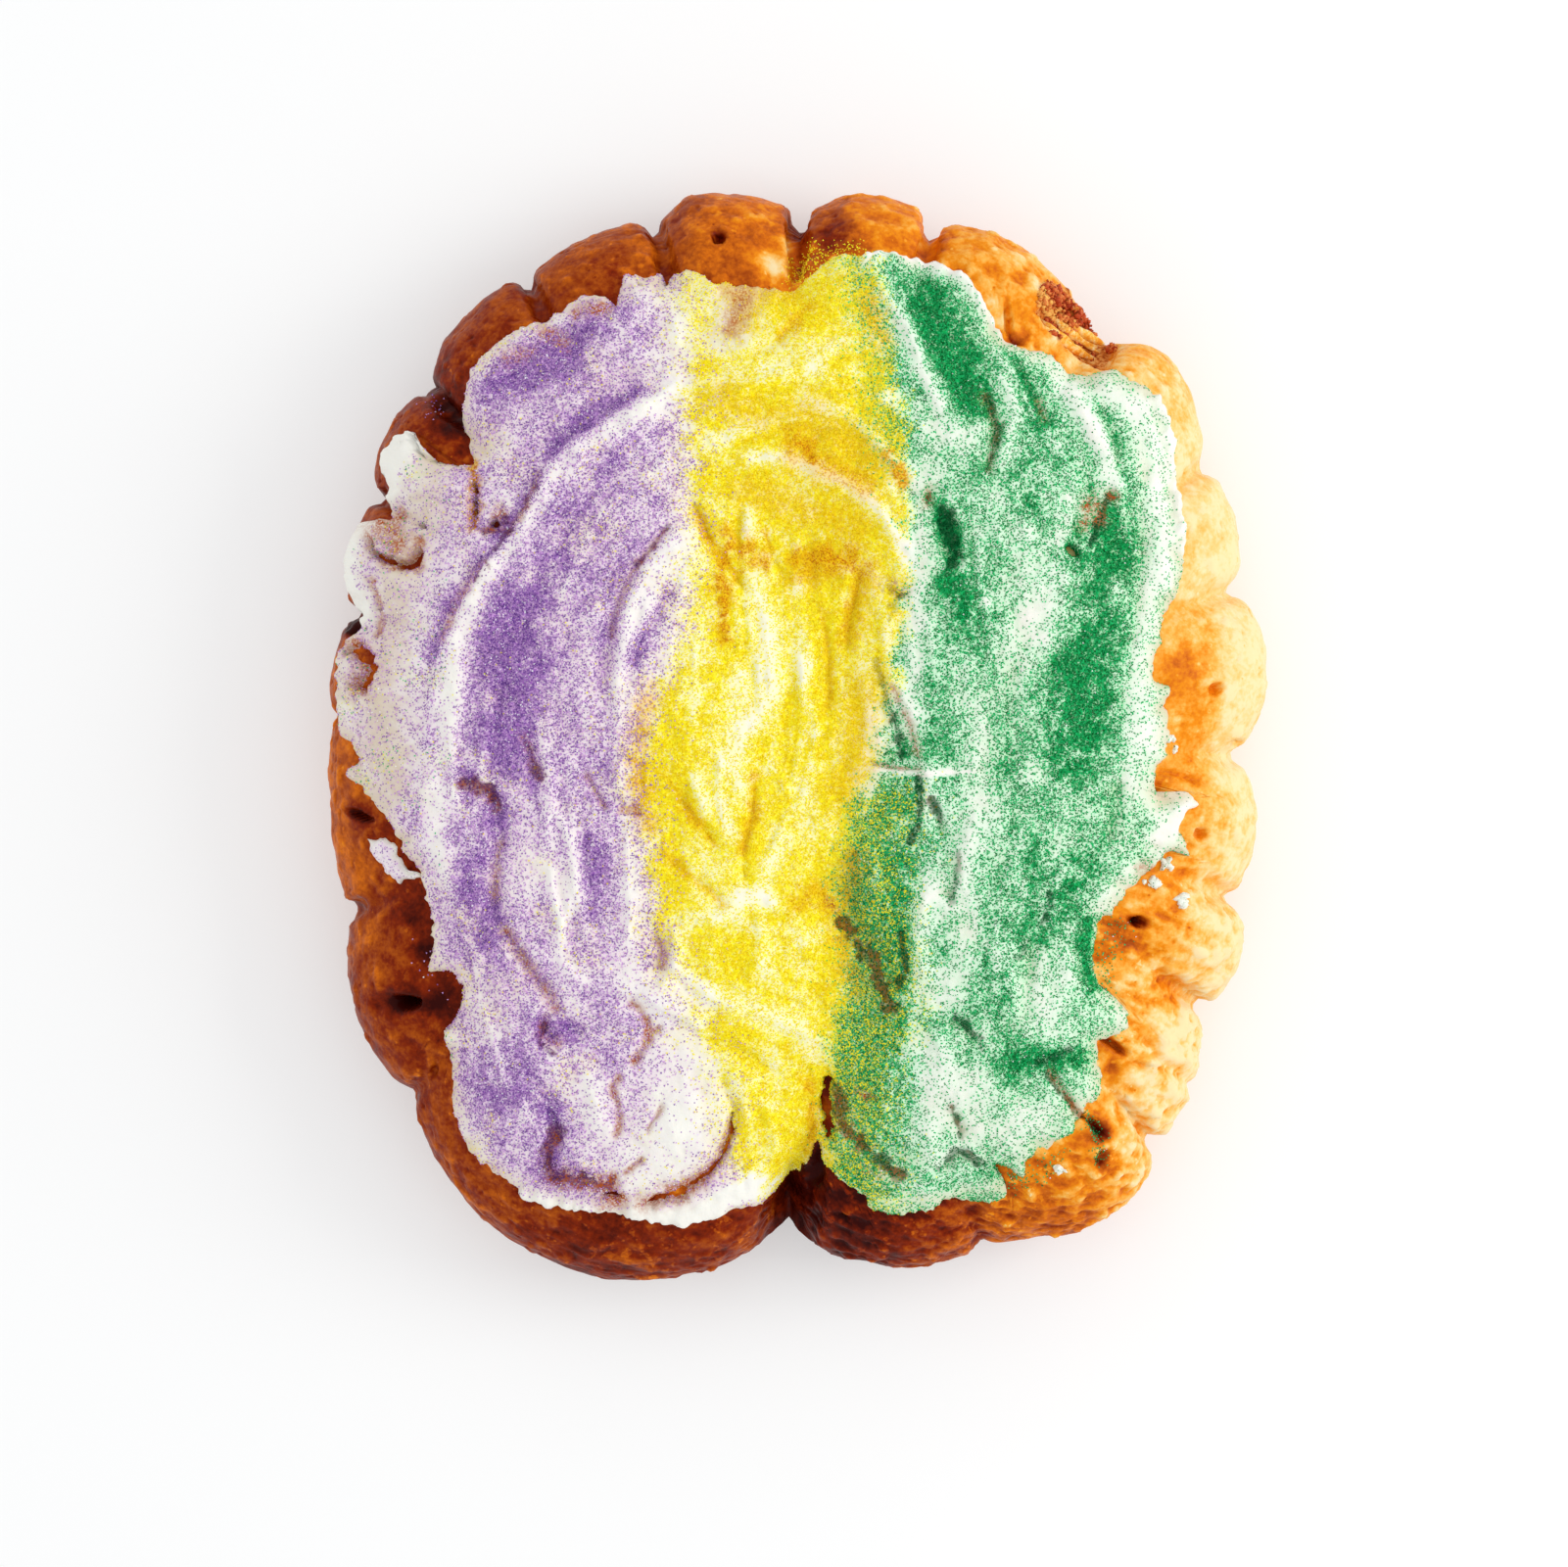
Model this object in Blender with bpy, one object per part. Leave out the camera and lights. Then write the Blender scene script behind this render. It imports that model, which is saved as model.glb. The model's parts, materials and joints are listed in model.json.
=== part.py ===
"""King cake: a filled brioche roll, bent into a closed oval and iced over its top.

The cake stands on its flat underside at z = 0. Its length runs along Y, and the roll's two
ends meet in a cleft at -Y. All the shape values are in millimetres, angles are in degrees
counter-clockwise from +X about the middle of the cake, and MM turns them into metres.

The bread's upper surface is a rounded dome given by an angle and a share of the reach from
the middle to the widest line. Creases pull it in along its outer edge, which leaves lobes
between them. The icing is a sheet laid on that dome, thicker along the strokes of the
spatula. The filling runs through the roll and shows where the crust has burst.
"""

import math

import bmesh
import bpy
import numpy as np
from mathutils import Vector
from mathutils.bvhtree import BVHTree

MM = 0.001
GAP = 0.3  # clear space between pieces that touch
CURVE_STEPS = 4  # points that a smooth curve gets in each span of its route
SHARP_ANGLE = 50.0  # degrees past which an edge is shaded sharp

# The bread's profile.
CREST = 61.0  # height of the bread
WIDEST = 22.0  # height of its widest line
DOME_ACROSS = 3.8  # powers of the dome's rounded profile: the higher, the squarer
DOME_UP = 2.0
UNDERCUT = ((1.0, 13.5), (3.6, 6.5), (7.5, 1.8), (11.0, 0.0))  # inset and height down to the base
SIDE_RINGS = 5  # rings from the widest line up to the icing
LOBE_STEP = 2.6  # degrees between the columns of a lobe
LOBE_ROUND = 2.4  # power of a lobe's swell: the higher, the squarer
CREASE_FADE = (0.74, 0.95)  # share of the reach over which a crease deepens
OUTLINE_STEP = 0.5  # degrees between the points of the bread's outline
SMOOTHING = 11.0  # degrees over which the lobes average out to the plain oval

# Angle and reach of each crease, then how far the lobe after it swells and where it is fullest.
LOBES = (
    (18, 127.3, 4.4, 0.5),
    (33, 135.5, 10.0, 0.58),
    (52.5, 138.0, 7.6, 0.6),
    (75, 144.8, 7.8, 0.45),
    (90, 143.0, 7.6, 0.55),
    (106, 146.2, 4.4, 0.5),
    (121, 146.2, 6.0, 0.45),
    (138, 140.0, 5.2, 0.45),
    (151, 133.6, 4.4, 0.5),
    (165, 128.0, 3.2, 0.5),
    (178, 129.2, 1.4, 0.5),
    (202, 134.6, 5.4, 0.55),
    (223, 147.6, 21.4, 0.52),
    (269, 135.4, 8.2, 0.42),
    (290, 151.4, 10.2, 0.63),
    (311, 150.0, 4.4, 0.4),
    (326, 135.2, 7.0, 0.5),
    (339, 129.0, 5.6, 0.55),
    (357, 122.0, 8.0, 0.5),
)

# The cleft between the roll's ends, and the seam where its two arms touch.
CLEFT = ((-3, -142), (1, -122), (6, -104), (9, -90))
CLEFT_DEPTH = 13.0
CLEFT_WIDTH = 9.0
SEAM = ((9, -92), (14, -60), (8, -20), (3, 20), (0, 48))
SEAM_DEPTH = 5.0
SEAM_WIDTH = 24.0

# The icing: its depth, the round of its edge, and its outline on the top of the cake.
ICING_DEPTH = 3.6
LIP = 7.0  # distance over which the edge rises to the full depth
EDGE_DEPTH = 1.0
EDGE_STEP = 4.8
EDGE_LIMIT = 0.985  # most of the bread's reach that the icing's edge takes
EDGE_AVERAGE = 13  # points over which the edge averages out to the shape of the inner rings
EDGE_FADE = 9  # power by which the edge's raggedness dies away inwards
ICING_STEP = 6.3  # distance between the rings of the icing's top
RIM_INSETS = (2.2, 5.6)  # the first rings in from the edge
RING_LEAST = 8  # fewest points in a ring
UNDER_SHARES = (0.955, 0.9, 0.8, 0.66, 0.48, 0.26)  # rings on which the icing lies
UNDER_STEP = (6.0, 16.0)  # distance between their points at the edge, and how much it grows inwards
ICING_EDGE = (
    (102, 3), (102, 11), (98, 17), (101, 27), (106, 41), (106.5, 54), (104, 72), (98, 90),
    (88, 98.5), (79, 100), (70, 104.5), (58, 107.5), (50, 119), (43, 127.5), (33, 131.5),
    (10, 131), (0, 123.5), (-18, 123), (-30, 127.5), (-44, 126.5), (-50, 117.5),
    (-57, 120.5), (-72, 113), (-86, 103.5), (-93, 92), (-90.5, 76), (-99, 76), (-110, 80),
    (-114, 70), (-115, 61), (-126, 55), (-129, 45), (-126, 33), (-122.5, 27), (-127, 21),
    (-128.5, 8), (-123, -6), (-121, -16), (-112, -27), (-105, -38), (-101, -52), (-101, -64),
    (-94, -69), (-93.5, -77), (-98, -86), (-96, -99), (-91, -113), (-80, -123), (-66, -130.5),
    (-44, -133), (-30, -135.5), (-8, -133), (0, -130), (3.5, -118), (7, -108), (9.5, -120),
    (19, -129), (24, -132.5), (44, -130), (57, -127), (62, -120), (79, -104), (83, -97),
    (82.5, -88), (91, -79), (82, -66), (83, -56), (90, -45), (99, -37), (107, -32),
    (105, -25), (109, -19), (99, -14), (101, -6),
)  # fmt: skip

STROKE_ENDS = (0.4, 0.12)  # share of its height that a stroke keeps at its ends, and how long they are
CLEFT_THINNING = 0.6  # share of the icing's depth that is missing over the cleft

# Strokes of the spatula: height above or below the icing, half width, and route.
STROKES = (
    (2.6, 5.0, ((-92, 86), (-88, 99), (-79, 107), (-65, 115), (-56, 118))),
    (-1.4, 9.0, ((-52, 112), (-66, 104), (-80, 92), (-84, 78))),
    (2.4, 4.5, ((-30, 95), (-50, 84), (-68, 71), (-85, 48), (-96, 28), (-100, 0), (-104, -30))),
    (-1.6, 9.0, ((-48, 74), (-66, 54), (-78, 28), (-80, 0), (-84, -30))),
    (2.2, 5.0, ((-24, 60), (-38, 46), (-48, 25), (-50, 0), (-48, -30), (-47, -60))),
    (-1.4, 5.0, ((-92, -13), (-83, -20), (-82, -48), (-74, -66), (-66, -80))),
    (1.6, 4.5, ((-70, -2), (-64, -34), (-65, -60), (-50, -71), (-30, -76))),
    (2.0, 5.0, ((-12, 75), (4, 73), (19, 64), (29, 51), (33, 38))),
    (1.6, 4.5, ((8, 90), (18, 84), (29, 68))),
    (1.8, 4.5, ((-14, 44), (-9, 24), (-8, 0), (-12, -28), (-13, -50))),
    (-3.0, 7.0, ((4, -38), (14, -54), (21, -64), (25, -76))),
    (1.8, 5.0, ((22, 122), (32, 106), (43, 88), (46, 66))),
    (-1.6, 7.0, ((32, 118), (42, 104), (52, 84))),
    (2.0, 5.0, ((70, 100), (84, 84), (92, 60), (95, 34), (93, 6), (96, -16))),
    (-1.6, 9.0, ((66, 74), (74, 44), (72, 10), (70, -30), (74, -60))),
    (1.8, 5.0, ((26, 16), (33, -4), (36, -24), (43, -46), (38, -70), (35, -92))),
    (-2.4, 6.0, ((41, 60), (42, 46))),
    (1.6, 6.0, ((-60, -118), (-40, -112), (-26, -98), (-30, -84))),
)

# A flake of icing that lies apart on the left of the crust: its outline, then the share of it and
# the height above the crust of each of its rings, from the underside to the top.
FLAKE_EDGE = (
    (-119, -30.5), (-118, -34), (-115.5, -37.5), (-112.5, -40), (-110, -41.5), (-107.5, -40.5),
    (-108, -37.5), (-110, -34.5), (-112, -31.5), (-114.5, -30),
)  # fmt: skip
FLAKE_RINGS = ((0.6, 0.55), (1.0, 0.55), (1.0, 1.3), (0.6, 2.1))
ABOVE_CRUST = 15.0  # height from which the flake is dropped onto the crust

# The filling: its route through the roll, the tongue that reaches the burst, and the burst.
FILLING_ROUTE = (
    (-52, -112), (-64, -70), (-68, -20), (-66, 26), (-46, 68), (0, 86),
    (46, 68), (66, 26), (68, -20), (62, -70), (50, -108),
)  # fmt: skip
FILLING_LEVEL = 29.0
FILLING_SIZE = (20.0, 6.0)  # half width and half height
FILLING_STEP = 17.0
SWEPT_SIDES = 10
END_TAPER = (0.62, 0.9)  # size of a rod's last ring and of the ring before it
TONGUE_ROUTE = ((44, 66, 29), (57, 84, 31), (67, 99, 34), (76, 111, 37))
TONGUE_SIZE = (11.5, 6.0)
TONGUE_STEP = 8.0
BURST_MIDDLE = (80.5, 114.0, 38.0)
BURST_SIZE = (14.0, 8.5, 13.0)  # half length along the edge, half depth, half height
BURST_ANGLE = 54.0
BURST_TILT = -28.0

# Steam holes in the crust: place on the top view, half width, half length, turn and depth.
STEAM_HOLES = (
    ((-22, 136), 2.4, 2.4, 0, 7),
    ((115, 12), 2.4, 2.6, 0, 7),
    ((111, -28.5), 2.2, 2.4, 0, 7),
    ((94, -52.5), 3.0, 3.4, 0, 8),
    ((-111, -75), 3.4, 6.6, -75, 8),
)

MATERIALS = {
    "bread": ((0.46, 0.17, 0.035), 0.38),
    "icing": ((0.93, 0.90, 0.84), 0.45),
    "icing_flake": ((0.93, 0.90, 0.84), 0.45),
    "filling": ((0.30, 0.07, 0.03), 0.6),
}


def clear_scene():
    for item in list(bpy.data.objects):
        bpy.data.objects.remove(item, do_unlink=True)


def ramp(value, low, high):
    """0 below low and 1 above high, with a smooth rise between them."""
    share = np.clip((value - low) / (high - low), 0.0, 1.0)
    return share * share * (3.0 - 2.0 * share)


def curve_through(points, steps, closed=False):
    """A Catmull-Rom curve through the points, with the given steps in each span."""
    fixed = np.array(points, float)
    if closed:
        padded = np.concatenate([fixed[-1:], fixed, fixed[:2]])
    else:
        padded = np.concatenate([2 * fixed[:1] - fixed[1:2], fixed, 2 * fixed[-1:] - fixed[-2:-1]])
    share = np.linspace(0.0, 1.0, steps, endpoint=False)[:, None]
    pieces = []
    for a, b, c, d in zip(padded, padded[1:], padded[2:], padded[3:]):
        bend = (2 * a - 5 * b + 4 * c - d) * share**2 + (3 * (b - c) + d - a) * share**3
        pieces.append(b + 0.5 * ((c - a) * share + bend))
    if not closed:
        pieces.append(fixed[-1:])
    return np.concatenate(pieces)


def evenly(line, step, closed=False):
    """The line sampled again, at even steps near the given length."""
    if closed:
        line = np.concatenate([line, line[:1]])
    travelled = np.concatenate([[0.0], np.cumsum(np.linalg.norm(np.diff(line, axis=0), axis=1))])
    count = max(2, round(travelled[-1] / step))
    places = np.linspace(0.0, travelled[-1], count + (not closed), endpoint=not closed)
    return np.stack([np.interp(places, travelled, line[:, k]) for k in range(line.shape[1])], axis=1)


def distance_to(line, x, y):
    """Distance on the top view from each point to the line, and how far along it that is, 0 to 1."""
    nearest = np.full(np.shape(x), np.inf)
    along = np.zeros(np.shape(x))
    spans = len(line) - 1
    for k, (start, end) in enumerate(zip(line, line[1:])):
        run = end - start
        share = ((x - start[0]) * run[0] + (y - start[1]) * run[1]) / (run @ run)
        share = np.clip(share, 0.0, 1.0)
        away = np.hypot(x - start[0] - share * run[0], y - start[1] - share * run[1])
        closer = away < nearest
        nearest = np.where(closer, away, nearest)
        along = np.where(closer, (k + share) / spans, along)
    return nearest, along


class Outline:
    """The bread's reach at any angle: the lobed one, and the plain oval that they average to."""

    def __init__(self):
        self.angles = np.radians(np.arange(0.0, 360.0, OUTLINE_STEP))
        self.lobed = self.lobes()
        self.plain = self.averaged(self.lobed)

    def lobes(self):
        reach = np.zeros(len(self.angles))
        around = zip(LOBES, LOBES[1:] + LOBES[:1])
        for (angle, here, swell, fullest), (end, there, _, _) in around:
            span = (end - angle) % 360
            share = ((np.degrees(self.angles) - angle) % 360) / span
            inside = share < 1.0
            skewed = np.clip(share, 0.0, 1.0) ** (math.log(0.5) / math.log(fullest))
            bulge = swell * (1.0 - np.abs(2.0 * skewed - 1.0) ** LOBE_ROUND)
            reach = np.where(inside, here + (there - here) * share + bulge, reach)
        return reach

    def averaged(self, reach):
        turned = np.arange(len(reach)) * OUTLINE_STEP
        turned = np.minimum(turned, 360.0 - turned)
        weights = np.exp(-((turned / SMOOTHING) ** 2))
        spectrum = np.fft.rfft(reach) * np.fft.rfft(weights / weights.sum())
        return np.fft.irfft(spectrum, len(reach))

    def at(self, table, angle):
        return np.interp(angle, self.angles, table, period=2.0 * math.pi)


OUTLINE = Outline()
CLEFT_LINE = curve_through(CLEFT, CURVE_STEPS)
SEAM_LINE = curve_through(SEAM, CURVE_STEPS)
STROKE_LINES = [curve_through(route, CURVE_STEPS) for _, _, route in STROKES]


def bread_top(angle, share):
    """Points of the bread's dome at an angle and a share of the reach, and the normals there."""
    oval = OUTLINE.at(OUTLINE.plain, angle)
    crease = OUTLINE.at(OUTLINE.lobed, angle) - oval
    share = np.clip(share, 1e-6, 1.0)
    climb = (1.0 - share**DOME_ACROSS) ** (1.0 / DOME_UP)
    across = DOME_ACROSS * share ** (DOME_ACROSS - 1.0) / oval
    upward = DOME_UP * climb ** (DOME_UP - 1.0) / (CREST - WIDEST)
    size = np.hypot(across, upward)
    across, upward = across / size, upward / size
    x, y = share * oval * np.cos(angle), share * oval * np.sin(angle)
    push = crease * ramp(share, *CREASE_FADE)
    away, along = distance_to(CLEFT_LINE, x, y)
    push = push - CLEFT_DEPTH * (1.0 - along) * np.clip(1.0 - away / CLEFT_WIDTH, 0.0, 1.0)
    away, _ = distance_to(SEAM_LINE, x, y)
    push = push - SEAM_DEPTH * np.exp(-((away / SEAM_WIDTH) ** 2))
    normal = np.stack([across * np.cos(angle), across * np.sin(angle), upward], axis=-1)
    level = WIDEST + (CREST - WIDEST) * climb
    return np.stack([x, y, level], axis=-1) + push[..., None] * normal, normal


def on_bread(x, y):
    """The point of the bread's dome at a place on the top view, and the normal there."""
    angle = np.arctan2(y, x)
    share = np.hypot(x, y) / OUTLINE.at(OUTLINE.plain, angle)
    return bread_top(angle, np.minimum(share, EDGE_LIMIT))


def icing_edge():
    """The icing's outline, as evenly spaced points in order of their angle."""
    edge = evenly(curve_through(ICING_EDGE, CURVE_STEPS, closed=True), EDGE_STEP, closed=True)
    angles = np.unwrap(np.arctan2(edge[:, 1], edge[:, 0]))
    return edge, angles


def icing_rings(edge, angles, shares, step):
    """Rings of points from the icing's edge to its middle, with fewer points as they shrink."""
    reach = np.hypot(edge[:, 0], edge[:, 1])
    average = np.full(EDGE_AVERAGE, 1.0 / EDGE_AVERAGE)
    rounded = np.convolve(np.tile(reach, 3), average, "same")[len(reach) : 2 * len(reach)]
    rings = [edge]
    for share in shares:
        count = max(RING_LEAST, round(2.0 * math.pi * share * reach.mean() / step(share)))
        turn = angles[0] + np.linspace(0.0, 2.0 * math.pi, min(count, len(edge)), endpoint=False)
        plain = np.interp(turn, angles, rounded, period=2.0 * math.pi)
        ragged = np.interp(turn, angles, reach, period=2.0 * math.pi)
        radius = share * plain + share**EDGE_FADE * (ragged - plain)
        rings.append(np.stack([radius * np.cos(turn), radius * np.sin(turn)], axis=1))
    return rings


def icing_depth(x, y, inset):
    """Depth of the icing at a place on the top view, inset being the way in from its edge."""
    depth = np.full(np.shape(x), ICING_DEPTH)
    kept, long = STROKE_ENDS
    for (height, width, _), line in zip(STROKES, STROKE_LINES):
        away, along = distance_to(line, x, y)
        ends = ramp(along, 0.0, long) * ramp(1.0 - along, 0.0, long)
        depth = depth + height * (kept + (1.0 - kept) * ends) * np.exp(-((away / width) ** 2))
    away, _ = distance_to(CLEFT_LINE, x, y)
    depth = depth * (1.0 - CLEFT_THINNING * np.clip(1.0 - away / CLEFT_WIDTH, 0.0, 1.0))
    rise = np.sqrt(1.0 - (1.0 - np.clip(inset / LIP, 0.0, 1.0)) ** 2)
    return EDGE_DEPTH + (depth - EDGE_DEPTH) * rise


class Skin:
    """Vertices and faces of a mesh that is built ring by ring."""

    def __init__(self):
        self.points = []
        self.faces = []

    def ring(self, points):
        first = len(self.points)
        self.points.extend(map(tuple, points))
        return list(range(first, len(self.points)))

    def bridge(self, outer, inner):
        """Faces between two rings that run counter-clockwise, whatever their counts."""
        i = j = 0
        while i < len(outer) or j < len(inner):
            a, b = outer[i % len(outer)], inner[j % len(inner)]
            if j == len(inner) or (i < len(outer) and self.ahead(outer, i) <= self.ahead(inner, j)):
                self.faces.append((a, outer[(i + 1) % len(outer)], b))
                i += 1
            else:
                self.faces.append((a, inner[(j + 1) % len(inner)], b))
                j += 1

    def ahead(self, ring, k):
        """How far round the next point of the ring is, in turns of the ring's own angle."""
        start = self.turn(ring[0])
        if k + 1 == len(ring):
            return 1.0 + self.offset(ring)
        return (self.turn(ring[k + 1]) - start) % 1.0 + self.offset(ring)

    def offset(self, ring):
        return (self.turn(ring[0]) - self.base + 0.5) % 1.0 - 0.5

    def turn(self, vertex):
        x, y = self.points[vertex][:2]
        return math.atan2(y, x) / (2.0 * math.pi)

    def start_at(self, vertex):
        """Sets the angle from which bridges are counted."""
        self.base = self.turn(vertex)

    def join(self, first, second):
        """Four-sided faces between two rings of the same count."""
        for a, b, c, d in zip(first, first[1:] + first[:1], second[1:] + second[:1], second):
            self.faces.append((a, b, c, d))

    def close(self, ring):
        """A fan to a new point in the middle of the ring."""
        middle = len(self.points)
        self.points.append(tuple(np.mean([self.points[k] for k in ring], axis=0)))
        self.faces.extend((a, b, middle) for a, b in zip(ring, ring[1:] + ring[:1]))

    def flipped(self):
        self.faces = [face[::-1] for face in self.faces]

    def object(self, name):
        mesh = bpy.data.meshes.new(name)
        mesh.from_pydata([Vector(p) * MM for p in self.points], [], self.faces)
        mesh.validate()
        item = bpy.data.objects.new(name, mesh)
        bpy.context.scene.collection.objects.link(item)
        return item


def finish(item, name):
    """Gives a piece its material and smooth shading."""
    colour, roughness = MATERIALS[name]
    material = bpy.data.materials.new(name)
    material.use_nodes = True
    surface = material.node_tree.nodes["Principled BSDF"]
    surface.inputs["Base Color"].default_value = (*colour, 1.0)
    surface.inputs["Roughness"].default_value = roughness
    surface.inputs["Metallic"].default_value = 0.0
    item.data.materials.clear()
    item.data.materials.append(material)
    item.data.shade_smooth()
    item.data.set_sharp_from_angle(angle=math.radians(SHARP_ANGLE))


def under_rings():
    """The rings on which the icing lies, which the bread's top and the icing's underside share."""
    edge, angles = icing_edge()
    close, growth = UNDER_STEP
    return icing_rings(edge, angles, UNDER_SHARES, lambda share: close + growth * (1.0 - share))


def column_angles():
    """Angles of the side's columns: one in each crease, and even steps over each lobe."""
    angles = []
    for (start, *_), (end, *_) in zip(LOBES, LOBES[1:] + LOBES[:1]):
        span = (end - start) % 360
        count = max(3, round(span / LOBE_STEP))
        angles.extend(start + span * k / count for k in range(count))
    return np.radians(np.array(angles))


def build_bread():
    """The bread, from its flat base up over the lobes to the dome that the icing lies on."""
    skin = Skin()
    angles = column_angles()
    reach = OUTLINE.at(OUTLINE.lobed, angles)
    rings = []
    for inset, level in reversed(UNDERCUT):
        radius = reach - inset
        rings.append(np.stack([radius * np.cos(angles), radius * np.sin(angles),
                               np.full(len(angles), level)], axis=1))  # fmt: skip
    edge, edge_angles = icing_edge()
    edge_reach = np.interp(angles, edge_angles, np.hypot(edge[:, 0], edge[:, 1]), period=2.0 * math.pi)
    edge_share = np.minimum(edge_reach / OUTLINE.at(OUTLINE.plain, angles), EDGE_LIMIT)
    edge_climb = (1.0 - edge_share**DOME_ACROSS) ** (1.0 / DOME_UP)
    for k in range(SIDE_RINGS):
        climb = edge_climb * k / SIDE_RINGS
        share = (1.0 - climb**DOME_UP) ** (1.0 / DOME_ACROSS)
        rings.append(bread_top(angles, share)[0])
    laid = [skin.ring(ring) for ring in rings]
    skin.start_at(laid[0][0])
    for ring in under_rings():
        laid.append(skin.ring(on_bread(ring[:, 0], ring[:, 1])[0]))
    for lower, upper in zip(laid, laid[1:]):
        skin.bridge(lower, upper)
    skin.close(laid[-1])
    skin.faces.append(tuple(reversed(laid[0])))
    return skin.object("bread")


def build_icing():
    """The icing: its underside follows the bread, and its top carries the strokes."""
    skin = Skin()
    under = []
    for ring in under_rings():
        points, normals = on_bread(ring[:, 0], ring[:, 1])
        under.append(skin.ring(points + GAP * normals))
    skin.start_at(under[0][0])
    for outer, inner in zip(under, under[1:]):
        skin.bridge(outer, inner)
    skin.close(under[-1])
    skin.flipped()

    edge, edge_angles = icing_edge()
    reach = np.hypot(edge[:, 0], edge[:, 1])
    mean = reach.mean()
    insets = [*RIM_INSETS, *np.arange(RIM_INSETS[-1] + ICING_STEP, mean - ICING_STEP, ICING_STEP)]
    shares = [1.0 - inset / mean for inset in insets]
    over = []
    for ring in icing_rings(edge, edge_angles, shares, lambda share: ICING_STEP):
        x, y = ring[:, 0], ring[:, 1]
        angle = np.arctan2(y, x)
        inset = np.interp(angle, edge_angles, reach, period=2.0 * math.pi) - np.hypot(x, y)
        points, normals = on_bread(x, y)
        depth = GAP + icing_depth(x, y, inset)
        over.append(skin.ring(points + depth[:, None] * normals))
    skin.bridge(under[0], over[0])
    for outer, inner in zip(over, over[1:]):
        skin.bridge(outer, inner)
    skin.close(over[-1])
    return skin.object("icing")


def swept(name, route, size, grow=0.0):
    """A closed rod of oval section along a route, grown all round by the given amount."""
    route = np.array(route, float)
    ahead = np.gradient(route, axis=0)
    ahead /= np.linalg.norm(ahead, axis=1)[:, None]
    route[0] -= grow * ahead[0]
    route[-1] += grow * ahead[-1]
    side = np.cross(ahead, (0.0, 0.0, 1.0))
    side /= np.linalg.norm(side, axis=1)[:, None]
    above = np.cross(side, ahead)
    skin = Skin()
    turns = np.linspace(0.0, 2.0 * math.pi, SWEPT_SIDES, endpoint=False)
    rings = []
    for k, middle in enumerate(route):
        end = min(k, len(route) - 1 - k)
        taper = END_TAPER[end] if end < len(END_TAPER) else 1.0
        wide, high = size[0] * taper + grow, size[1] * taper + grow
        rings.append(skin.ring(
            middle + wide * math.cos(t) * side[k] + high * math.sin(t) * above[k] for t in turns
        ))  # fmt: skip
    for first, second in zip(rings, rings[1:]):
        skin.join(first, second)
    skin.faces.append(tuple(reversed(rings[0])))
    skin.faces.append(tuple(rings[-1]))
    skin.flipped()
    return skin.object(name)


def lump(name, middle, size, turn, tilt=0.0):
    """A rounded lump: an icosphere stretched to half sizes, turned about Z and then tilted."""
    mesh = bpy.data.meshes.new(name)
    shape = bmesh.new()
    bmesh.ops.create_icosphere(shape, subdivisions=2, radius=1.0)
    shape.to_mesh(mesh)
    shape.free()
    item = bpy.data.objects.new(name, mesh)
    item.scale = [half * MM for half in size]
    item.rotation_euler = (0.0, math.radians(tilt), math.radians(turn))
    item.location = Vector(middle) * MM
    bpy.context.scene.collection.objects.link(item)
    return item


def apply_boolean(item, other, operation):
    """Joins the other solid to the item or cuts it away, and removes the other one."""
    change = item.modifiers.new(operation.lower(), "BOOLEAN")
    change.operation = operation
    change.object = other
    change.solver = "EXACT"
    graph = bpy.context.evaluated_depsgraph_get()
    result = bpy.data.meshes.new_from_object(item.evaluated_get(graph))
    item.modifiers.clear()
    item.data = result
    bpy.data.objects.remove(other, do_unlink=True)


def filling_shape(name, grow=0.0):
    """The filling's run through the roll, with the tongue that reaches out to the burst."""
    route = evenly(curve_through(FILLING_ROUTE, CURVE_STEPS), FILLING_STEP)
    route = np.column_stack([route, np.full(len(route), FILLING_LEVEL)])
    run = swept(name, route, FILLING_SIZE, grow)
    route = evenly(curve_through(TONGUE_ROUTE, CURVE_STEPS), TONGUE_STEP)
    tongue = swept(name + "_tongue", route, TONGUE_SIZE, grow)
    apply_boolean(run, tongue, "UNION")
    return run


def cut_burst(bread):
    """The burst in the crust, a hollow across the edge between two lobes."""
    along, deep, high = BURST_SIZE
    hollow = lump("burst", BURST_MIDDLE, (deep, along, high), BURST_ANGLE, BURST_TILT)
    apply_boolean(bread, hollow, "DIFFERENCE")


def cut_steam_holes(bread):
    for (x, y), wide, long, turn, deep in STEAM_HOLES:
        points, _ = on_bread(np.array([x], float), np.array([y], float))
        hole = lump("hole", points[0], (wide, long, deep), turn)
        apply_boolean(bread, hole, "DIFFERENCE")


def build_flake(bread):
    """The flake of icing on the crust: a thin lens laid on the bread's own faces."""
    ground = BVHTree.FromObject(bread, bpy.context.evaluated_depsgraph_get())
    edge = np.array(FLAKE_EDGE, float)
    middle = edge.mean(axis=0)
    skin = Skin()
    rings = []
    for share, lift in FLAKE_RINGS:
        outline = middle + share * (edge - middle)
        ring = []
        for point, normal in zip(*on_bread(outline[:, 0], outline[:, 1])):
            hit, _, _, _ = ground.ray_cast(Vector(point + ABOVE_CRUST * normal) * MM, -Vector(normal))
            ring.append(np.array(hit) / MM + lift * normal)
        rings.append(skin.ring(ring))
    skin.close(rings[0])
    skin.flipped()
    for lower, upper in zip(rings, rings[1:]):
        skin.join(lower, upper)
    skin.close(rings[-1])
    return skin.object("icing_flake")


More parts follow.
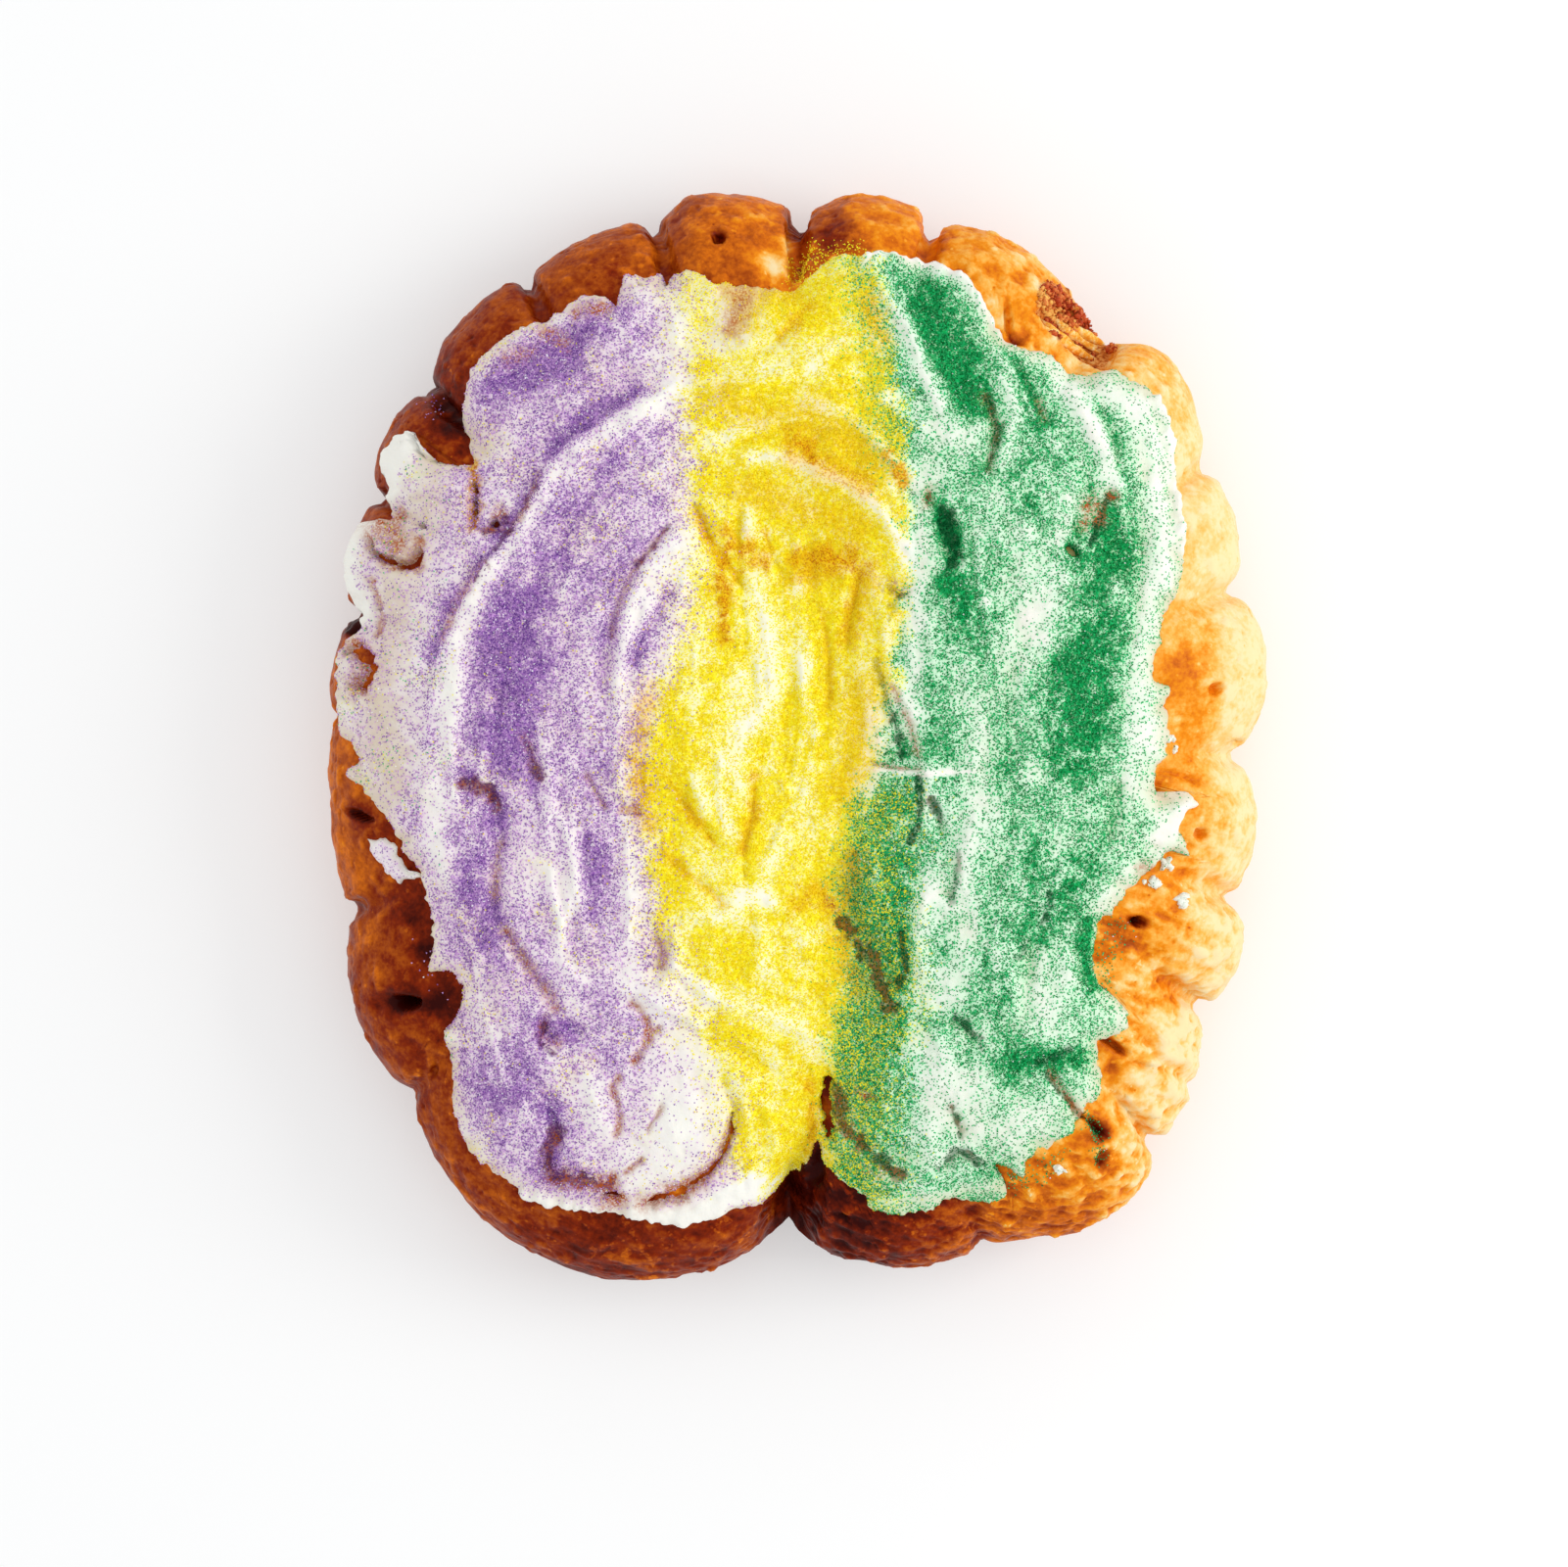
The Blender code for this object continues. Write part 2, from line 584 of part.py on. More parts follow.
def main():
    clear_scene()
    bread = build_bread()
    cut_burst(bread)
    apply_boolean(bread, filling_shape("tunnel", GAP), "DIFFERENCE")
    cut_steam_holes(bread)
    filling = filling_shape("filling")
    icing = build_icing()
    flake = build_flake(bread)
    for item, name in ((bread, "bread"), (filling, "filling"), (icing, "icing"), (flake, "icing_flake")):
        finish(item, name)


main()
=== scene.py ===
"""King cake: the looks of the bread, its icing, the coloured sugar and the burst in the crust.

Shape values are in millimetres of the design, in the top view's x and y, and angles are in
degrees counter-clockwise from +X. MM turns them into metres at the size of the CAD model. A
route is a list of places that a smooth line runs through. The last number that noise is given
is its seed.
"""

import json
import math

import bmesh
import bpy
import numpy as np
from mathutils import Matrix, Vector
from mathutils.kdtree import KDTree

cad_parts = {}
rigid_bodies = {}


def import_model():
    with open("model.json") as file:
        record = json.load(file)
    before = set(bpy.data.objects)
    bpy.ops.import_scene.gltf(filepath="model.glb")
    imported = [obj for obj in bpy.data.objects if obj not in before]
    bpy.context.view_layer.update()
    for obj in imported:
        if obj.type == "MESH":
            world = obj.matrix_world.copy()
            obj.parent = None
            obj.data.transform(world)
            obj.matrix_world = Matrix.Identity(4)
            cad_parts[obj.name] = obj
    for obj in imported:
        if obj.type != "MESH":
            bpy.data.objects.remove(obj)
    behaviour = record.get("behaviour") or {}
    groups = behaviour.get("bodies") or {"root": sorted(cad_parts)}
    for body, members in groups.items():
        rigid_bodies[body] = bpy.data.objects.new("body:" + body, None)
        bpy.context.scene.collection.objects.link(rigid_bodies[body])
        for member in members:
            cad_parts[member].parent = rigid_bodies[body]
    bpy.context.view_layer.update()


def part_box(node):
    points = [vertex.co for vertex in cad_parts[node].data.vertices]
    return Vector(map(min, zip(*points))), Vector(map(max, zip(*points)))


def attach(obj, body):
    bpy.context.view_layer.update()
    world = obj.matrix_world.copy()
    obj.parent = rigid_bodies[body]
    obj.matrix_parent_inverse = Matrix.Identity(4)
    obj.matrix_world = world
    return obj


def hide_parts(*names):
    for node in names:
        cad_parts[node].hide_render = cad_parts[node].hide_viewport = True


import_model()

# ---------------------------------------------------------------- sizes, from the frame
DESIGN_LENGTH = 303.9
BREAD_LOW, BREAD_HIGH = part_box("bread")
MM = (BREAD_HIGH.y - BREAD_LOW.y) / DESIGN_LENGTH
CREST = 61.0  # height of the smooth dome's top
WIDEST = 22.0  # height at which the bread is widest
DOME_ACROSS = 3.8  # power of the dome's profile across, the higher the flatter on top
DOME_UP = 2.0  # and upward
UNDERCUT_IN = 11.0  # how far the base lies inside the widest line
UNDERCUT_ROUND = 2.3  # power with which the side draws in below the widest line
SIDE_ROUND = 0.82  # power that spaces the rows there
LOBE_ROUND = 2.4  # power of each lobe's profile
CREASE_FADE = (0.74, 0.95)  # shares of the reach between which the lobes begin
SMOOTHING = 11.0  # degrees over which the lobes average to the plain oval
EDGE_LIMIT = 0.985  # greatest share of the reach that the icing covers
EDGE_BEND = 0.965  # share of the reach past which a sheet on the bread hangs down its side

# ---------------------------------------------------------------- the bread
# Angle and reach of each crease, then how far the lobe after it swells and where it is fullest.
LOBES = (
    (18, 127.3, 4.4, 0.5),
    (33, 135.5, 10.0, 0.58),
    (52.5, 138.0, 7.6, 0.6),
    (75, 144.8, 7.8, 0.45),
    (90, 143.0, 7.6, 0.55),
    (106, 146.2, 4.4, 0.5),
    (121, 146.2, 6.0, 0.45),
    (138, 140.0, 5.2, 0.45),
    (151, 133.6, 4.4, 0.5),
    (165, 128.0, 3.2, 0.5),
    (178, 129.2, 1.4, 0.5),
    (202, 134.6, 5.4, 0.55),
    (223, 147.6, 21.4, 0.52),
    (269, 135.4, 8.2, 0.42),
    (290, 151.4, 10.2, 0.63),
    (311, 150.0, 4.4, 0.4),
    (326, 135.2, 7.0, 0.5),
    (339, 129.0, 5.6, 0.55),
    (357, 122.0, 8.0, 0.5),
)
# The routes of the cleft where the roll's ends meet, and of the shallow seam that runs on.
CLEFT = ((-3, -142), (1, -122), (6, -104), (9, -90))
CLEFT_DEPTH = 13.0
CLEFT_WIDTH = 9.0
SEAM = ((9, -92), (14, -60), (8, -20), (3, 20), (0, 48))
SEAM_DEPTH = 5.0
SEAM_WIDTH = 24.0

BREAD_COLUMNS = 1000
BREAD_ROWS_BELOW = 20
BREAD_ROWS_ABOVE = 52
UNDER_ICING = 7.0  # how far the fine crust runs on under the icing
HIDDEN_STEP = 3.6  # size of the coarse triangles under the icing
HIDDEN_REACH = 120.0  # usual reach of the icing, for their count
HIDDEN_START = 0.86  # how far out the hidden rows start, so that they run on from the fine ones
CRUST_IN = 0.5  # how far the crust lies inside the smooth bread
CALM_SIDE = (12.0, 28.0)  # heights between which the crust goes from calm to blistered
WRINKLE_TURN = -20.0  # the way that the wrinkles run
CREASE_START = 0.07  # share of the reach over which a crease begins

# Dents and holes in the crust: place, half length, half width, turn and depth. The crust is also
# painted darker inside them, as shade.
CRUST_DENTS = (
    ((-22, 137), 2.3, 2.0, 20, 6.0),
    ((115.5, 12), 2.3, 2.2, 0, 3.6),
    ((111.5, -28.5), 2.1, 2.1, 0, 3.6),
    ((94, -52.5), 3.0, 2.0, -5, 6.5),
    ((12.5, -134.5), 1.2, 1.2, -50, 3.0),
    ((-109, -75), 4.6, 2.0, -4, 8.5),
    ((-112, -75), 7.0, 4.0, -4, 2.2),
    ((-122, -23), 5.0, 1.3, -24, 4.5),
    ((-101, -94), 2.6, 1.2, 70, 1.4),
    ((83, -110), 5.2, 1.9, -52, 4.5),
    ((77.5, -105.5), 4.0, 0.8, -42, 3.0),
    ((84, -118), 5.0, 1.7, 75, 2.6),
    ((87, -86.5), 5.0, 1.5, -35, 4.0),
    ((97, -92.5), 7.0, 0.9, -14, 1.2),
    ((-123, 29), 3.6, 2.2, 10, 4.0),
    ((-115.5, 67), 1.6, 1.2, 0, 3.0),
    ((5, -120), 2.6, 7.0, -8, 4.0),
    ((99.5, -15.5), 1.6, 1.4, 0, 1.5),
    ((106, -12), 9.0, 1.2, -14, 1.2),
    ((58, 114), 1.3, 6.5, 6, 3.0),
    ((60, 108), 3.0, 1.4, -15, 3.0),
    ((35, 136), 1.2, 4.0, -18, 1.8),
    ((122, -3), 1.8, 1.2, 0, 2.0),
    ((-124, -49), 4.5, 3.2, 30, 3.0),
)

# Creases between the lobes: angle, how deep, how wide, and how far in they reach. The crust is also
# painted darker along them, as shade.
CREASES = (
    (18, 1.4, 2.2, 0.88), (33, 1.4, 2.4, 0.88), (50.5, 1.6, 4.5, 0.88), (75, 3.0, 2.2, 0.80),
    (88.3, 1.6, 5.0, 0.84), (90, 4.2, 2.0, 0.80), (104.5, 1.2, 4.0, 0.84), (106, 2.4, 1.6, 0.82),
    (121, 2.0, 2.0, 0.82), (135.5, 1.4, 4.0, 0.82), (137, 2.4, 1.7, 0.80), (151, 2.0, 1.8, 0.82),
    (165, 1.6, 1.8, 0.84), (178, 0.8, 1.8, 0.90), (202, 0.9, 2.0, 0.88), (223, 1.2, 2.4, 0.90),
    (290, 1.2, 2.6, 0.88), (311, 1.8, 2.4, 0.86), (318, 1.6, 2.0, 0.84), (326, 2.0, 2.4, 0.84),
    (339, 1.8, 2.4, 0.88), (357, 1.6, 2.2, 0.90),
)  # fmt: skip

# How the crust is baked, with painted light on its right side: angle, then its tone next to the
# icing and out on the side, 0 dark, 1 pale. From about 310 round to 45 degrees the pale tones,
# palest out on the side, are partly its baking and partly painted light from the lamp on the right.
BAKE_AND_PAINTED_LIGHT = (
    (8, 0.68, 0.93), (22, 0.80, 0.94), (38, 0.84, 0.91), (48, 0.74, 0.80), (56, 0.69, 0.71),
    (64, 0.64, 0.65), (78, 0.55, 0.57), (92, 0.48, 0.52), (104, 0.40, 0.42), (120, 0.33, 0.33),
    (136, 0.26, 0.30), (150, 0.27, 0.33), (165, 0.32, 0.36), (180, 0.42, 0.46),
    (194, 0.32, 0.45), (202, 0.24, 0.42), (212, 0.22, 0.31), (224, 0.27, 0.32),
    (236, 0.28, 0.34), (246, 0.15, 0.20), (256, 0.15, 0.19), (266, 0.26, 0.30),
    (276, 0.11, 0.14), (286, 0.16, 0.26), (296, 0.41, 0.43), (304, 0.55, 0.57),
    (312, 0.72, 0.84), (322, 0.68, 0.90), (334, 0.62, 0.90), (346, 0.66, 0.91), (357, 0.68, 0.93),
)  # fmt: skip
# Patches baked darker (below 0) or paler, and patches of painted shade: place, radius and change of
# tone. The dark ones over the dents, over the creases and notch near 90 degrees, and in the bay at
# (-96, 85) are painted shade.
BAKED_AND_SHADED_PATCHES = (
    ((8, -104), 7.0, 0.52),
    ((-20, -114), 6.0, 0.42),
    ((-33, -127), 6.0, 0.38),
    ((75, -135), 9.0, -0.06),
    ((101, 99), 10.0, -0.03),
    ((62, 119), 8.0, -0.03),
    ((10, 138), 6.0, -0.26),
    ((-96, 85), 6.0, -0.24),
    ((-98, 78), 4.0, 0.08),
    ((-98, -76), 6.0, -0.26),
    ((-101, -60), 4.0, -0.20),
    ((-104, -48), 5.0, -0.14),
    ((-112, -27), 6.0, -0.14),
    ((-107, -65), 6.0, 0.06),
    ((18, -137), 12.0, -0.12),
    ((113, 42), 6.0, 0.05),
    ((110, 20), 5.0, -0.10),
    ((119, -11), 5.0, 0.18),
    ((118, -30), 5.0, -0.08),
    ((98, -68), 6.0, -0.11),
    ((69, 124), 3.5, 0.20),
    ((63, 118), 5.0, -0.14),
    ((102, 101), 8.0, -0.05),
    ((-106, -86), 6.0, -0.06),
    ((60, -133), 5.0, 0.06),
    ((104, 18), 6.0, -0.12),
    ((101, -13), 4.0, -0.12),
    ((88, -57), 8.0, -0.20),
    ((87, -87), 5.0, -0.22),
    ((83, -111), 4.0, -0.34),
    ((84, -119), 3.0, -0.20),
    ((-52, 121), 6.0, -0.10),
    ((-38, 134), 5.0, 0.12),
    ((-30, 131), 5.0, 0.06),
    ((-6, 129), 5.0, 0.42),
    ((-2, 135), 3.0, 0.25),
    ((1, 139), 3.0, -0.20),
    ((55.5, 114), 3.0, 0.16),
    ((60, 108), 3.0, -0.20),
    ((34, 136), 3.0, 0.10),
    ((60, 128), 8.0, 0.04),
    ((-123, 29), 4.0, -0.30),
    ((-122, -22.5), 3.5, -0.22),
    ((-110, -75), 5.0, -0.16),
    ((-101, -94), 4.0, 0.08),
    ((72, -121), 4.0, 0.08),
)

# How wrinkled, and how thickly flecked with pale blisters, the crust is at each angle, 0 to
# about 1.
WRINKLES = (
    (8, 0.15), (40, 0.25), (52, 0.80), (70, 0.70), (80, 0.40), (100, 0.30), (125, 0.18),
    (200, 0.20), (240, 0.35), (262, 0.60), (276, 0.90), (290, 1.0), (312, 1.1), (326, 1.0),
    (340, 0.70), (352, 0.30),
)  # fmt: skip
FLECKS = (
    (30, 0.1), (75, 0.35), (130, 0.30), (190, 0.20), (235, 0.30), (250, 0.95), (268, 0.8),
    (290, 0.7), (320, 0.4), (350, 0.15),
)  # fmt: skip

# The burst in the crust, and the filling that shows in it.
BURST = ((69, 121), (73, 116.5), (78, 111.5), (83, 107.5), (88.5, 105))
BURST_DEPTH = 5.5
BURST_WIDTH = 6.0
BURST_FILLING = ((70, 120.5), (74, 116.5), (78.5, 112.5), (82.5, 109), (87.5, 107))
FILLING_REACH = 4.0  # how far the filling reaches to each side of that line
CRUMBS = 2200
CRUMB_SIZE = 1.15  # radius of the largest crumbs
CRUMB_HEAP = 2.6  # how high they are heaped in the hollow
CRUMBS_TOP = 52.0  # greatest height of the crust that they lie on
CRUMB_SHADOW = ((70.5, 113.2), (76.5, 109), (82.5, 105.8))  # crumbs under the strands of dough
STRANDS = 5  # of torn dough, side by side
STRAND_START = (69.5, 115)
STRAND_END = (83.5, 105.5)
STRAND_GAP = 1.95
STRAND_POINTS = 14
STRAND_SIDES = 8

# ---------------------------------------------------------------- the icing
# Its edge seen from above, counter-clockwise from +X.
ICING_EDGE = (
    (102, 3), (101.5, 8), (102.5, 12), (100, 13), (98, 15), (98.5, 20), (100, 25), (101, 31),
    (104, 36), (106, 42), (106.5, 50), (106, 62), (104.5, 72), (103, 80), (100, 86), (97, 91),
    (93, 95), (87, 99), (80, 99.5), (75, 101.5), (70, 104.5), (64, 106), (58, 107.5), (55, 111),
    (50, 119), (44, 127), (37, 130.5), (30, 131.5), (20, 131), (10, 131), (5, 128), (0, 123.5),
    (-2, 122.5), (-8, 123), (-18, 123), (-23, 123.5), (-27, 126.5), (-31, 127.5), (-35, 127),
    (-37, 124), (-38, 127.5), (-42, 126), (-47, 126.5), (-49, 122), (-50, 117), (-53, 119.5),
    (-57, 120.5), (-62, 119), (-68, 115.5), (-76, 111), (-83, 107), (-88, 101), (-92, 95),
    (-93.5, 90), (-93, 84), (-90, 76), (-91, 73.5), (-99, 74), (-103, 76), (-104.5, 80),
    (-106, 82.5), (-111, 79), (-114, 74), (-114, 68), (-116, 66), (-114, 60), (-119, 58.5),
    (-124, 56), (-127, 52), (-129, 46), (-128, 42), (-125, 36), (-122, 30), (-123, 27),
    (-126, 26), (-127, 20), (-128.5, 12), (-129, 6), (-128, 0), (-124, -4), (-122, -8),
    (-125, -11), (-120, -16), (-117, -20), (-114, -24), (-111, -28), (-109, -33), (-105, -38),
    (-103, -45), (-101, -50), (-101, -60), (-101.5, -65.5), (-99, -66), (-95, -66.5),
    (-93, -70), (-93, -75), (-95, -80), (-98, -83), (-97.5, -88), (-96, -95), (-96, -101),
    (-95, -105), (-92, -111), (-89, -117), (-84, -120.5), (-80, -123), (-74, -127.5),
    (-70, -129.5), (-60, -131.5), (-45, -133), (-37, -135), (-31, -135.5), (-24, -134),
    (-16, -132.5), (-8, -133), (-2, -131), (1.5, -128.5), (2.8, -123), (4.0, -118.5), (5.6, -115.5),
    (6.6, -117.5), (7.2, -121.5), (10, -122.5), (14, -126), (19, -128.5), (20, -131.5),
    (30, -132.5), (38, -131), (41, -129.5), (45, -130), (50, -131), (57, -129), (57, -124),
    (54, -119.5), (58, -120), (62, -122.5), (63, -117.5), (67, -115.5), (71, -113), (75, -109),
    (77, -106), (79, -103),
    (83, -100), (84, -95), (82.5, -91), (83, -86.5), (86, -84), (90, -83), (91, -79),
    (90, -76), (86, -72), (83, -70), (82, -67), (81, -62), (82, -56), (84, -51), (87, -50),
    (90, -45), (94, -41), (98, -38), (101, -34.5), (104, -33), (109, -34.5), (106, -29),
    (105, -26), (107, -22), (110, -20), (107, -16.5), (103, -17.5), (99, -18), (98.5, -13),
    (99, -10.5), (101, -8), (102, -3),
)  # fmt: skip
EDGE_STEP = 0.7  # distance between the points of the edge
ICING_STEP = 0.84  # size of the triangles inside it
ICING_DEPTH = 3.6
THINNEST = 0.9
THROUGH = 3.5  # pits at least this deep show the bread
EDGE_ROUND = 2.6  # radius of the edge
EDGE_RISE = 9.0  # how far inside the edge the icing has its full depth
SINK = 3.2  # how deep the icing's hidden underside lies in the bread

# The flake of icing that lies apart on the left of the crust.
FLAKE_EDGE = (
    (-119.6, -29.8), (-118.4, -31), (-118.6, -33), (-117, -36), (-115.6, -37.4), (-115, -39.6),
    (-112.6, -40.8), (-111, -42.4), (-109.6, -41.2), (-107, -41.2), (-104.2, -40.2), (-105.2, -39),
    (-107, -39.4), (-108.6, -38.4), (-109.6, -36), (-111, -34), (-111.2, -31.4), (-113, -30.4),
    (-115, -29.4), (-117, -30),
)  # fmt: skip
FLAKE_STEP = 0.35
FLAKE_SINK = 1.6

# Dabs of icing that fell on the crust: place, half sizes and number of lumps.
DABS = (
    ((102.5, -2), 1.2, 0.6, 5),
    ((104, -5), 0.5, 0.5, 3),
    ((102, -37), 1.6, 1.0, 6),
    ((97.5, -42), 2.4, 1.4, 9),
    ((106.3, -47), 0.7, 1.8, 6),
    ((72, -121), 1.6, 0.7, 5),
)
DAB_LUMP = 1.5  # radius of a usual lump

